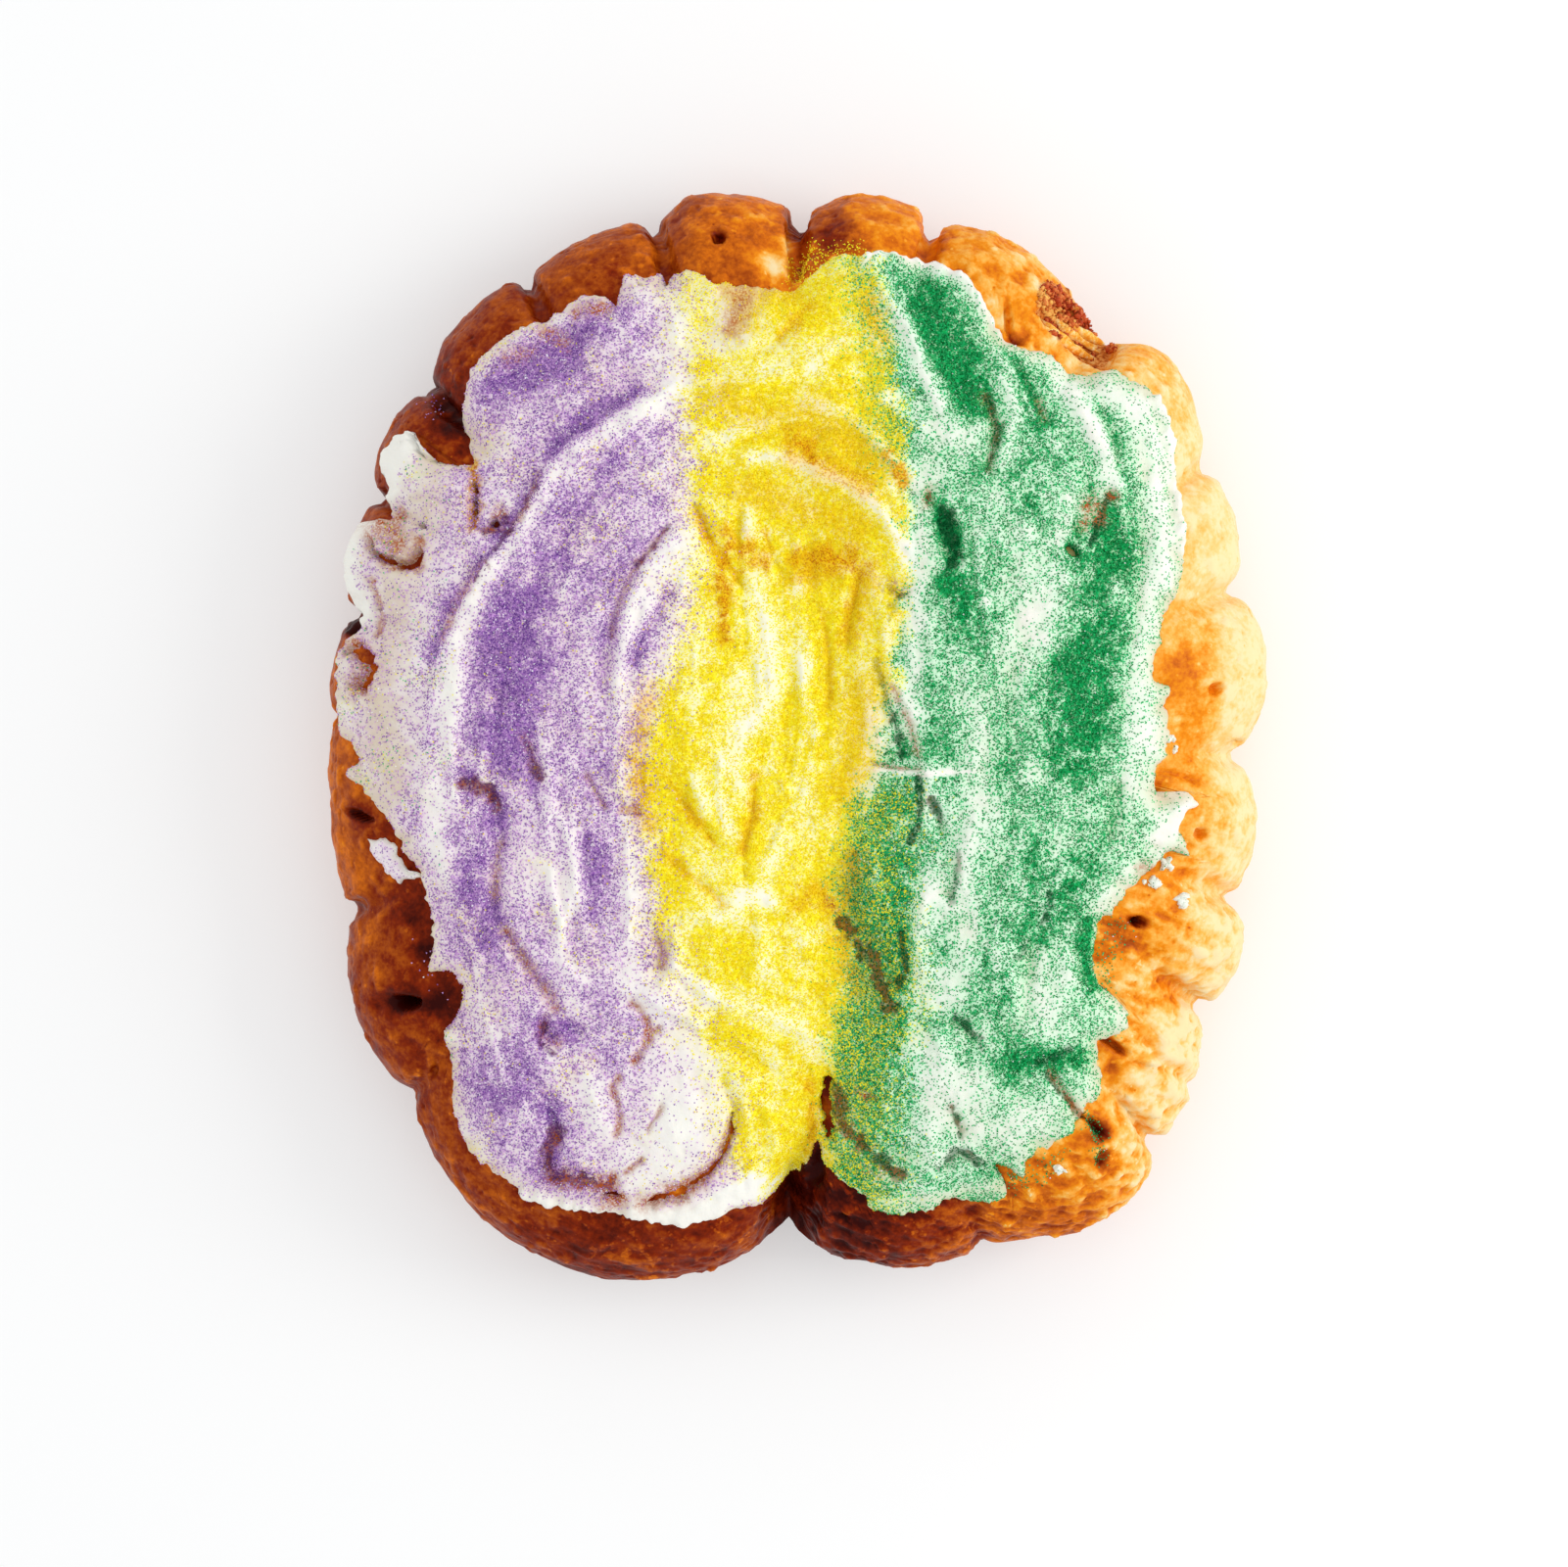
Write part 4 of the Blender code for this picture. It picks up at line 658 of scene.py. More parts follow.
# Where the sugar lies thick (above 0) or thin: strength, half width and route, for each colour.
PURPLE_DRIFTS = (
    (0.50, 5.5, ((-57, 111), (-64, 106), (-74, 99), (-83, 92))),
    (0.40, 3.6, ((-46, 93), (-52, 89), (-59, 84), (-66, 78))),
    (0.40, 3.5, ((-66, 97), (-60, 98))),
    (0.15, 5.0, ((-47, 106), (-50, 114))),
    (0.35, 2.6, ((-71, 69), (-78, 58), (-87, 46), (-95, 34), (-99, 22))),
    (0.55, 7.5, ((-74, 36), (-79, 24), (-79, 8), (-77, -6))),
    (0.22, 7.0, ((-54, 72), (-62, 58), (-68, 46))),
    (0.25, 5.0, ((-42, 50), (-48, 42), (-53, 30))),
    (0.45, 2.4, ((-35, 39), (-41, 29), (-45, 20))),
    (0.25, 3.2, ((-56, -30), (-56, -42), (-57, -50))),
    (-0.12, 5.0, ((-61, -38), (-62, -44))),
    (0.20, 6.0, ((-46, 4), (-46, -8))),
    (0.10, 7.0, ((-74, -70), (-80, -86), (-82, -104))),
    (0.18, 4.0, ((-72, 26), (-71, 14))),
    (0.14, 5.0, ((-68, -14), (-72, -26))),
    (-0.14, 6.0, ((-52, 104), (-46, 98))),
    (0.20, 5.0, ((-88, -40), (-90, -56))),
    (0.35, 4.0, ((-93, -12), (-87, -16), (-82, -22))),
    (0.30, 5.0, ((-90, -28), (-90, -44), (-88, -56))),
    (0.50, 3.6, ((-69, -81), (-62, -83))),
    (0.30, 6.0, ((-82, -104), (-78, -96))),
    (0.30, 4.0, ((-86, -48), (-82, -62))),
    (0.40, 3.5, ((-68, -104), (-67, -112), (-68, -120))),
    (0.30, 3.0, ((-66, -121), (-54, -123))),
    (-0.34, 3.4, ((-92, 84), (-90, 94), (-83, 103), (-73, 110), (-60, 117.5), (-55, 119))),
    (-0.30, 4.0, ((-80, 80), (-88, 76))),
    (-0.34, 3.4, ((-91, 30), (-95, 14), (-96, -6), (-98, -26), (-96, -42))),
    (-0.36, 2.6, ((-27, 94), (-37, 90), (-46, 85.5), (-54, 81), (-61, 76), (-66, 71), (-70, 65),
                  (-74, 57.5), (-79, 49.5), (-85.5, 42), (-89.5, 33))),
    (-0.28, 2.6, ((-26, 57), (-33, 51), (-39, 44), (-43, 36), (-46, 28), (-48.2, 15), (-48.8, 0),
                  (-48.5, -12), (-46.5, -24), (-46, -40), (-45.5, -62))),
    (-0.42, 6.5, ((-28, 50), (-35, 43), (-40, 34))),
    (-0.32, 7.0, ((-40, 122), (-32, 114), (-34, 100))),
    (-0.33, 10.0, ((-102, 72), (-108, 40), (-112, 8), (-112, -14))),
    (-0.55, 3.0, ((-125, 34), (-126, 16), (-125, -2), (-118, -16), (-108, -32), (-103, -46),
                  (-99, -66))),
    (-0.46, 11.0, ((-40, -118), (-28, -108), (-26, -94), (-30, -82))),
    (-0.50, 5.0, ((-44, -70), (-34, -72), (-24, -76))),
    (-0.45, 2.6, ((-96, -84), (-95, -100), (-89, -113), (-78, -123), (-62, -130), (-40, -134),
                  (-18, -132))),
    (-0.24, 2.0, ((-70, 4), (-68, -16), (-62, -32), (-62, -46), (-66, -58), (-58, -68))),
    (-0.20, 7.0, ((-72, -26), (-73, -44))),
    (-0.25, 4.0, ((-66, -40), (-64, -48))),
    (-0.25, 5.0, ((-92, -68), (-86, -80))),
    (-0.28, 4.0, ((-58, -94), (-55, -108))),
    (0.20, 6.0, ((-44, -6), (-42, -24))),
)  # fmt: skip
YELLOW_DRIFTS = (
    (-0.28, 5.0, ((-25, -32), (-21, -40), (-18, -48))),
    (-0.14, 6.0, ((-8, -102), (-3, -114))),
    (0.16, 6.0, ((3, 37), (6, 24))),
    (0.25, 12.0, ((-22, 92), (0, 92), (16, 98))),
    (0.25, 9.0, ((-24, 66), (-10, 60), (10, 56))),
    (0.25, 6.0, ((0, 82), (12, 80), (20, 74))),
    (0.20, 6.0, ((-24, 36), (-24, 20), (-22, 8))),
    (0.25, 6.0, ((6, 38), (7, 16), (6, -4))),
    (0.20, 8.0, ((-34, 2), (-30, -14))),
    (0.25, 4.0, ((-33, -17), (-26, -26))),
    (0.25, 3.0, ((-12, -12), (-14, -30))),
    (0.25, 6.0, ((-36, -52), (-20, -60), (-4, -66))),
    (0.25, 6.0, ((6, -46), (2, -60))),
    (0.25, 8.0, ((-10, -94), (-4, -116))),
    (-0.72, 2.6, ((-12, 75), (-3, 75), (5, 71.5), (13, 68), (21, 62), (26.5, 55), (30, 48))),
    (-0.58, 2.4, ((2, 90), (11, 88), (19, 81.5), (25, 75))),
    (-0.50, 4.0, ((-20, 106), (0, 104), (12, 106))),
    (-0.42, 3.0, ((-22, 96), (-6, 99), (8, 97))),
    (-0.48, 3.0, ((-24, 78), (-12, 84), (0, 86))),
    (-0.42, 3.0, ((-24, 60), (-14, 62), (-4, 66))),
    (-0.48, 3.4, ((-16, 14), (-18, -4), (-14, -20))),
    (-0.36, 2.6, ((10, 30), (12, 10), (10, -8))),
    (-0.45, 5.0, ((-26, 122), (-20, 114), (-24, 107))),
    (-0.70, 4.5, ((-10, 127), (-14, 121), (-18, 112))),
    (-0.30, 4.0, ((4, 128), (16, 128))),
    (-0.66, 4.2, ((-12, 40), (-9, 30), (-8, 20), (-8, 10), (-12, 3))),
    (-0.48, 4.0, ((-24, 34), (-30, 26), (-34, 36))),
    (-0.42, 2.0, ((0, 30), (2, 16))),
    (-0.54, 2.0, ((-21, -6), (-22, -16), (-19, -27))),
    (-0.50, 1.8, ((-29, -13), (-25, -21))),
    (-0.48, 4.0, ((-6, -28), (-8, -40))),
    (-0.62, 3.0, ((-14, -45), (-8, -47))),
    (-0.48, 4.0, ((-22, -50), (-33, -52))),
    (-0.36, 3.4, ((-10, -54), (-8, -66))),
    (-0.54, 4.0, ((-34, -56), (-36, -68), (-28, -72))),
    (-0.48, 4.0, ((-30, -70), (-16, -76), (0, -82), (8, -90))),
    (-0.36, 4.0, ((-20, -92), (-16, -104))),
    (-0.72, 3.2, ((-2, -133), (-12, -131), (-20, -128))),
    (-0.30, 5.0, ((2, -18), (4, -34))),
)
GREEN_DRIFTS = (
    (0.62, 5.5, ((34, 118), (40, 109), (45, 98), (48, 90))),
    (0.55, 4.6, ((40, 60), (42, 52), (43, 44))),
    (0.62, 6.2, ((78, 22), (77, 8), (75, -8))),
    (0.45, 3.6, ((36, 112), (40, 104), (43, 97))),
    (0.40, 5.0, ((42, 38), (50, 32))),
    (0.35, 4.0, ((36, 12), (36, -6))),
    (0.30, 3.0, ((84, 10), (80, -2))),
    (0.42, 3.0, ((60, 100), (64, 92), (67, 84))),
    (0.30, 4.0, ((50, 94), (54, 84), (52, 74))),
    (0.30, 5.0, ((62, 80), (66, 74))),
    (0.40, 8.0, ((70, -34), (70, -46), (66, -54))),
    (0.25, 6.0, ((52, -66), (56, -72), (50, -80))),
    (0.50, 4.0, ((56, -92), (66, -90), (76, -89))),
    (0.70, 2.6, ((80, -52), (78, -60), (81, -68))),
    (0.30, 4.0, ((26, -32), (27, -48), (29, -60))),
    (0.25, 2.0, ((24, 8), (31, -6))),
    (0.30, 4.0, ((86, 60), (87, 44))),
    (0.20, 6.0, ((82, 36), (84, 26))),
    (0.18, 2.6, ((84, 84), (89, 72), (91, 55), (90, 38), (88, 20))),
    (-0.20, 5.0, ((93, 84), (96, 60), (95, 40), (93, 20), (93, 0), (92, -20))),
    (0.30, 4.0, ((50, 20), (54, 8), (56, -8))),
    (0.30, 4.0, ((62, 62), (70, 54), (76, 48))),
    (-0.50, 1.8, ((17, 128), (21, 122), (25, 116), (29, 110), (32, 103.5), (35, 96), (38, 90))),
    (-0.45, 2.6, ((30, 130), (40, 128), (48, 121), (55, 110), (60, 105.5), (70, 103), (80, 99))),
    (-0.34, 2.4, ((56, 96), (58.5, 86), (57, 76))),
    (-0.38, 2.4, ((71, 99), (76, 90), (81, 80), (86, 70))),
    (-0.34, 5.0, ((38, 84), (46, 80))),
    (-0.85, 6.0, ((78, 100), (91, 93), (100, 81), (104, 68), (105.5, 54), (104.5, 42), (101, 30),
                  (98, 18), (99, 4), (99, -12), (103, -24), (104, -34))),
    (-0.16, 3.0, ((22, 24), (27, 13), (31, 2), (33.5, -8))),
    (-0.38, 3.4, ((32, 50), (32, 30), (33, 12), (34, 4))),
    (-0.85, 0.8, ((14, -12.5), (22, -10.5), (33, -11.5), (42, -11))),
    (-0.30, 4.5, ((50, -20), (46.5, -30), (45.5, -40), (46, -48))),
    (-0.36, 4.4, ((36, -44), (33, -54), (33, -64), (36, -74))),
    (-0.40, 5.0, ((34, -84), (38, -94), (37, -106))),
    (-0.28, 6.0, ((62, 30), (56, 18), (52, 2), (50, -10))),
    (-0.30, 5.0, ((34, 70), (34, 56), (32, 44))),
    (-0.30, 8.0, ((48, -96), (50, -108), (66, -108))),
    (-0.30, 3.0, ((20, -129), (40, -127), (56, -126))),
    (-0.35, 3.0, ((78, -102), (84, -90), (88, -78), (84, -68))),
    (-0.45, 4.0, ((92, -38), (86, -46), (80, -50))),
    (-0.25, 3.0, ((74, -54), (74, -68), (70, -76))),
    (-0.16, 7.0, ((60, 60), (62, 48), (64, 38))),
    (-0.30, 4.0, ((46, -56), (44, -66), (42, -74))),
    (-0.25, 5.0, ((64, -64), (64, -78), (70, -84))),
)  # fmt: skip

USUAL = (0.38, 0.76, 0.42)  # cover of purple, yellow and green between the drifts
SPARSE = 0.09  # least cover of sugar inside a band

# Sugar that fell on the crust beside the icing: how many grains of each colour, and where.
SPILLS = {
    "purple": (50, ((1.0, 2.0, ((-102, 92), (-100, 88))), (0.3, 4.0, ((-102, -60), (-100, -70))))),
    "yellow": (420, (
        (1.0, 2.0, ((-1, 124), (2, 130), (5, 133))),
        (0.7, 2.0, ((4, 129), (11, 133), (16, 133))),
    )),
    "green": (500, (
        (1.0, 1.4, ((79, -106), (83, -112), (83, -118))),
        (0.5, 3.0, ((60, -124), (70, -119))),
        (0.5, 2.4, ((88, -54), (84, -66), (86, -82))),
    )),
}  # fmt: skip

GRAIN_SIZE = 0.19  # half the side of the box round a grain of sugar
GRAINS = 48500  # of each colour on the icing
FIRST_SEED = 7

# ---------------------------------------------------------------- small tools


def clear_startup():
    for item in list(bpy.data.objects):
        if item.type in ("CAMERA", "LIGHT"):
            bpy.data.objects.remove(item, do_unlink=True)


def ramp(value, low, high):
    """A soft step, from 0 at low to 1 at high."""
    share = np.clip((value - low) / (high - low), 0.0, 1.0)
    return share * share * (3.0 - 2.0 * share)


def hill(away, width, power=2):
    """1 where away is 0, falling softly to 0 past the width."""
    return np.exp(-((away / width) ** power))


def by_angle(table, angle, column=1):
    """A column of a table whose first one is the angle in degrees."""
    table = np.array(table)
    return np.interp(angle, table[:, 0], table[:, column], period=360.0)


def smoothed(loop, step, width):
    """Values a step apart round a loop, averaged over about the width."""
    count = len(loop)
    away = np.minimum(np.arange(count), count - np.arange(count)) * step
    weights = hill(away, width)
    return np.fft.irfft(np.fft.rfft(loop) * np.fft.rfft(weights / weights.sum()), count)


def curve_through(points, steps, closed=False):
    """A Catmull-Rom curve through the points, with the given steps in each span."""
    fixed = np.array(points, float)
    if closed:
        padded = np.concatenate([fixed[-1:], fixed, fixed[:2]])
    else:
        padded = np.concatenate([2 * fixed[:1] - fixed[1:2], fixed, 2 * fixed[-1:] - fixed[-2:-1]])
    share = np.linspace(0.0, 1.0, steps, endpoint=False)[:, None]
    pieces = []
    for a, b, c, d in zip(padded, padded[1:], padded[2:], padded[3:]):
        bend = (2 * a - 5 * b + 4 * c - d) * share**2 + (3 * (b - c) + d - a) * share**3
        pieces.append(b + 0.5 * ((c - a) * share + bend))
    if not closed:
        pieces.append(fixed[-1:])
    return np.concatenate(pieces)


def evenly_round(points, step):
    """A smooth closed line through the points, with its own points a step apart."""
    line = curve_through(points, 6, closed=True)
    line = np.concatenate([line, line[:1]])
    travelled = np.concatenate([[0.0], np.cumsum(np.linalg.norm(np.diff(line, axis=0), axis=1))])
    places = np.linspace(0.0, travelled[-1], round(travelled[-1] / step), endpoint=False)
    return np.stack([np.interp(places, travelled, line[:, k]) for k in (0, 1)], axis=1)


def distance_to(line, x, y):
    """Distance from each point to the line, how far along it that is (0 to 1), and the side."""
    nearest = np.full(np.shape(x), np.inf)
    along = np.zeros(np.shape(x))
    side = np.zeros(np.shape(x))
    spans = len(line) - 1
    for k, (start, end) in enumerate(zip(line, line[1:])):
        run = end - start
        share = ((x - start[0]) * run[0] + (y - start[1]) * run[1]) / (run @ run)
        share = np.clip(share, 0.0, 1.0)
        dx, dy = x - start[0] - share * run[0], y - start[1] - share * run[1]
        away = np.hypot(dx, dy)
        closer = away < nearest
        nearest = np.where(closer, away, nearest)
        along = np.where(closer, (k + share) / spans, along)
        side = np.where(closer, np.sign(run[0] * dy - run[1] * dx), side)
    return nearest, along, side


def near(line, x, y, reach):
    """The points that may lie within reach of the line: their indices, x, y and distance_to."""
    low, high = line.min(axis=0) - reach, line.max(axis=0) + reach
    some = np.nonzero((x > low[0]) & (x < high[0]) & (y > low[1]) & (y < high[1]))[0]
    return some, x[some], y[some], *distance_to(line, x[some], y[some])


def ends_fade(along, share):
    """1 along a line, fading to 0 over a share of it at each end."""
    return ramp(along, 0.0, share) * ramp(1.0 - along, 0.0, share)


def in_oval(x, y, place, half_long, half_wide, turn):
    """How far each point is from the middle of an oval, 1 on its outline."""
    turn = math.radians(turn)
    dx, dy = x - place[0], y - place[1]
    u = dx * math.cos(turn) + dy * math.sin(turn)
    v = dy * math.cos(turn) - dx * math.sin(turn)
    return np.hypot(u / half_long, v / half_wide)


def tree_of(points, kept):
    """A search tree of the kept points, as seen from above."""
    tree = KDTree(len(kept))
    for k in kept:
        tree.insert((points[k, 0], points[k, 1], 0.0), k)
    tree.balance()
    return tree


def lattice(ix, iy, iz, seed):
    """A random number from -1 to 1 for each whole-number place."""
    whole = np.uint64
    mixed = ix.astype(whole) * whole(374761393) + iy.astype(whole) * whole(668265263)
    mixed = mixed + iz.astype(whole) * whole(2246822519) + whole(seed * 3266489917)
    mixed = mixed & whole(0xFFFFFFFF)
    for shift, factor in ((15, 2654435761), (13, 1274126177)):
        mixed = ((mixed ^ (mixed >> whole(shift))) * whole(factor)) & whole(0xFFFFFFFF)
    return ((mixed >> whole(8)) & whole(0xFFFF)).astype(float) / 32767.5 - 1.0


def noise(x, y, z, size, seed):
    """Smooth noise from -1 to 1, with lumps of about the given size."""
    px, py, pz = x / size + 4096.0, y / size + 4096.0, z / size + 4096.0
    ix, iy, iz = np.floor(px), np.floor(py), np.floor(pz)
    fx, fy, fz = px - ix, py - iy, pz - iz
    fx, fy, fz = (f * f * (3.0 - 2.0 * f) for f in (fx, fy, fz))
    total = np.zeros(np.shape(px))
    for dx in (0, 1):
        for dy in (0, 1):
            for dz in (0, 1):
                weight = (fx if dx else 1 - fx) * (fy if dy else 1 - fy) * (fz if dz else 1 - fz)
                total += weight * lattice(ix + dx, iy + dy, iz + dz, seed)
    return total


def noise_sum(x, y, z, size, seed, layers=3):
    """Noise in layers, each half as large and as strong as the one before."""
    total, whole = 0.0, 0.0
    for k in range(layers):
        total = total + 0.5**k * noise(x, y, z, size / 2.0**k, seed + k)
        whole += 0.5**k
    return total / whole


def flat_noise(x, y, size, seed):
    """Noise over the top view, as flat_sum is noise_sum there."""
    return noise(x, y, 0.0 * x, size, seed)


def flat_sum(x, y, size, seed, layers=3):
    return noise_sum(x, y, 0.0 * x, size, seed, layers)


# ---------------------------------------------------------------- the bread's form
OUTLINE_STEP = 0.25  # degrees
OUTLINE_ANGLES = np.radians(np.arange(0.0, 360.0, OUTLINE_STEP))


def lobed_outline():
    """The bread's reach all round, with a lobe between each two creases."""
    reach = np.zeros(len(OUTLINE_ANGLES))
    for (angle, here, swell, fullest), (end, there, _, _) in zip(LOBES, LOBES[1:] + LOBES[:1]):
        span = (end - angle) % 360
        share = ((np.degrees(OUTLINE_ANGLES) - angle) % 360) / span
        skewed = np.clip(share, 0.0, 1.0) ** (math.log(0.5) / math.log(fullest))
        bulge = swell * (1.0 - np.abs(2.0 * skewed - 1.0) ** LOBE_ROUND)
        reach = np.where(share < 1.0, here + (there - here) * share + bulge, reach)
    return reach


LOBED = lobed_outline()
PLAIN = smoothed(LOBED, OUTLINE_STEP, SMOOTHING)
CLEFT_LINE = curve_through(CLEFT, 4)
SEAM_LINE = curve_through(SEAM, 5)
BURST_LINE = curve_through(BURST, 5)


def reach_at(angle, outline=PLAIN):
    """The reach of the plain oval, or of another outline, at an angle in radians."""
    return np.interp(angle, OUTLINE_ANGLES, outline, period=2.0 * math.pi)


def bread_top(angle, share):
    """Points of the bread's dome at an angle and a share of the reach, and the normals there."""
    oval = reach_at(angle)
    crease = reach_at(angle, LOBED) - oval
    share = np.clip(share, 1e-6, 1.0)
    climb = (1.0 - share**DOME_ACROSS) ** (1.0 / DOME_UP)
    across = DOME_ACROSS * share ** (DOME_ACROSS - 1.0) / oval
    upward = DOME_UP * climb ** (DOME_UP - 1.0) / (CREST - WIDEST)
    size = np.hypot(across, upward)
    across, upward = across / size, upward / size
    x, y = share * oval * np.cos(angle), share * oval * np.sin(angle)
    push = crease * ramp(share, *CREASE_FADE)
    away, along, _ = distance_to(CLEFT_LINE, x, y)
    push = push - CLEFT_DEPTH * (1.0 - along) * np.clip(1.0 - away / CLEFT_WIDTH, 0.0, 1.0)
    away, _, _ = distance_to(SEAM_LINE, x, y)
    push = push - SEAM_DEPTH * hill(away, SEAM_WIDTH)
    normal = np.stack([across * np.cos(angle), across * np.sin(angle), upward], axis=-1)
    level = WIDEST + (CREST - WIDEST) * climb
    return np.stack([x, y, level], axis=-1) + push[..., None] * normal, normal


def on_bread(x, y):
    """The point of the bread's dome at a place on the top view, and the normal there."""
    angle = np.arctan2(y, x)
    share = np.hypot(x, y) / reach_at(angle)
    over = np.maximum(share - EDGE_BEND, 0.0)
    left = np.exp(-over / (1.0 - EDGE_BEND))
    ragged = 0.16 + 0.30 * flat_noise(x, y, 5.0, 191) + 0.10 * flat_noise(x, y, 2.2, 192)
    left += (1.0 - left) * np.clip(ragged, 0.01, 0.5)
    return bread_top(angle, np.where(over > 0.0, 1.0 - (1.0 - EDGE_BEND) * left, share))


class Skin:
    """A mesh built ring by ring. Each ring knows how far round each of its points is, 0 to 1."""

    def __init__(self):
        self.blocks = []
        self.faces = []
        self.count = 0

    def ring(self, points, turns):
        first = self.count
        self.blocks.append(points)
        self.count += len(points)
        return first, turns

    def add_faces(self, *corners):
        self.faces.append(np.stack(corners, axis=1))

    def bridge(self, rings):
        """Faces between rings that run counter-clockwise, from the outer one inward."""
        for (first_a, turns_a), (first_b, turns_b) in zip(rings, rings[1:]):
            next_a = np.append(turns_a[1:], 1.0 + turns_a[0])
            next_b = np.append(turns_b[1:], 1.0 + turns_b[0])
            count_a, count_b = len(turns_a), len(turns_b)
            a, b = np.arange(count_a), np.arange(count_b)
            other = np.searchsorted(next_b, next_a, "left") % count_b
            self.add_faces(first_a + a, first_a + (a + 1) % count_a, first_b + other)
            other = np.searchsorted(next_a, next_b, "right") % count_a
            self.add_faces(first_a + other, first_b + (b + 1) % count_b, first_b + b)

    def close(self, ring):
        """A fan of faces over the last ring."""
        first, turns = ring
        middle, _ = self.ring(self.blocks[-1].mean(axis=0)[None, :], np.zeros(1))
        k = np.arange(len(turns))
        self.add_faces(first + k, first + (k + 1) % len(turns), np.full(len(turns), middle))

    def mesh(self):
        return np.concatenate(self.blocks), np.concatenate(self.faces)


def mesh_object(name, points, faces, smooth=True):
    """A mesh of triangles from points in millimetres."""
    mesh = bpy.data.meshes.new(name)
    mesh.from_pydata((points * MM).tolist(), [], faces.tolist())
    mesh.update()
    if smooth:
        mesh.shade_smooth()
    item = bpy.data.objects.new(name, mesh)
    bpy.context.scene.collection.objects.link(item)
    return item


def attribute(item, name, values):
    made = item.data.attributes.new(name, "FLOAT", "POINT")
    made.data.foreach_set("value", np.asarray(values, np.float32))


def across_faces(corners):
    """A vector square to each triangle, as long as twice its area."""
    return np.cross(corners[:, 1] - corners[:, 0], corners[:, 2] - corners[:, 0])


def normals_of(points, faces):
    """Vertex normals of a triangle mesh."""
    flat = across_faces(points[faces])
    total = np.zeros_like(points)
    for k in range(3):
        np.add.at(total, faces[:, k], flat)
    return total / np.maximum(np.linalg.norm(total, axis=1), 1e-12)[:, None]


# ---------------------------------------------------------------- the bread


def degrees_round(points):
    """How far round the cake each point is, in degrees."""
    return np.degrees(np.arctan2(points[:, 1], points[:, 0])) % 360


def off_crease(angle, at, reach):
    """How far each point is from a crease, in mm round the crust."""
    return np.radians((angle - at + 180.0) % 360.0 - 180.0) * reach


def crust_relief(points):
    """How far the crust stands in or out at each point, and the part of it that shows as tone,
    which paints highlight on the fold crests and shade in their troughs and pits, besides the
    blisters' own paler colour.
    """
    x, y, z = points.T
    angle = degrees_round(points)
    rise = 0.9 * noise_sum(x, y, z, 19.0, 11) + 0.40 * noise_sum(x, y, z, 6.0, 21, 2) - CRUST_IN
    turn = np.radians(WRINKLE_TURN)
    u, v = x * math.cos(turn) + y * math.sin(turn), y * math.cos(turn) - x * math.sin(turn)
    folds = 1.0 - 2.2 * np.abs(noise(u * 0.45, v, z * 0.7, 3.4, 31))
    folds += 0.7 * (1.0 - 2.2 * np.abs(noise(u * 0.6, v, z, 1.9, 32)))
    blister = ramp(noise(x, y, z, 3.4, 41), 0.30, 0.75)
    wrinkled = by_angle(WRINKLES, angle) * ramp(z, 6.0, 26.0)
    small = wrinkled * (0.55 * folds + 0.4 * blister) + 0.35 * blister
    small -= 0.40 * ramp(noise(x, y, z, 2.0, 43), 0.60, 0.9)
    small *= 0.45 + 0.55 * ramp(z, *CALM_SIDE)
    rise += small
    reach = reach_at(np.radians(angle))
    share = np.hypot(x, y) / reach
    for at, depth, width, inner in CREASES:
        off = off_crease(angle, at, reach)
        off = np.abs(off + 1.6 * noise(x, y, z, 8.0, 45) + 0.6 * noise(x, y, z, 3.0, 46))
        fade = ramp(share, inner, inner + CREASE_START) * ramp(z, 2.0, 12.0)
        rise -= depth * fade * hill(off, width, 1.3)
        rise += 0.35 * depth * fade * hill(off - 2.2 * width, 1.3 * width)
    for *oval, depth in CRUST_DENTS:
        inside = in_oval(x, y, *oval) / (1.0 + 0.22 * noise(x, y, z, 3.0, 51))
        facing = ramp(z, 16.0, 24.0)
        rise -= facing * depth * (1.0 - ramp(inside, 0.30, 1.05))
        rise += facing * 0.35 * hill(inside - 1.3, 0.25)
    away, along, _ = distance_to(BURST_LINE, x, y)
    ragged = away + 1.2 * noise(x, y, z, 2.5, 61)
    hollow = 1.0 - ramp(ragged, 0.45 * BURST_WIDTH, BURST_WIDTH)
    rise -= BURST_DEPTH * ends_fade(along, 0.15) * hollow * ramp(z, 18.0, 26.0)
    return rise, small


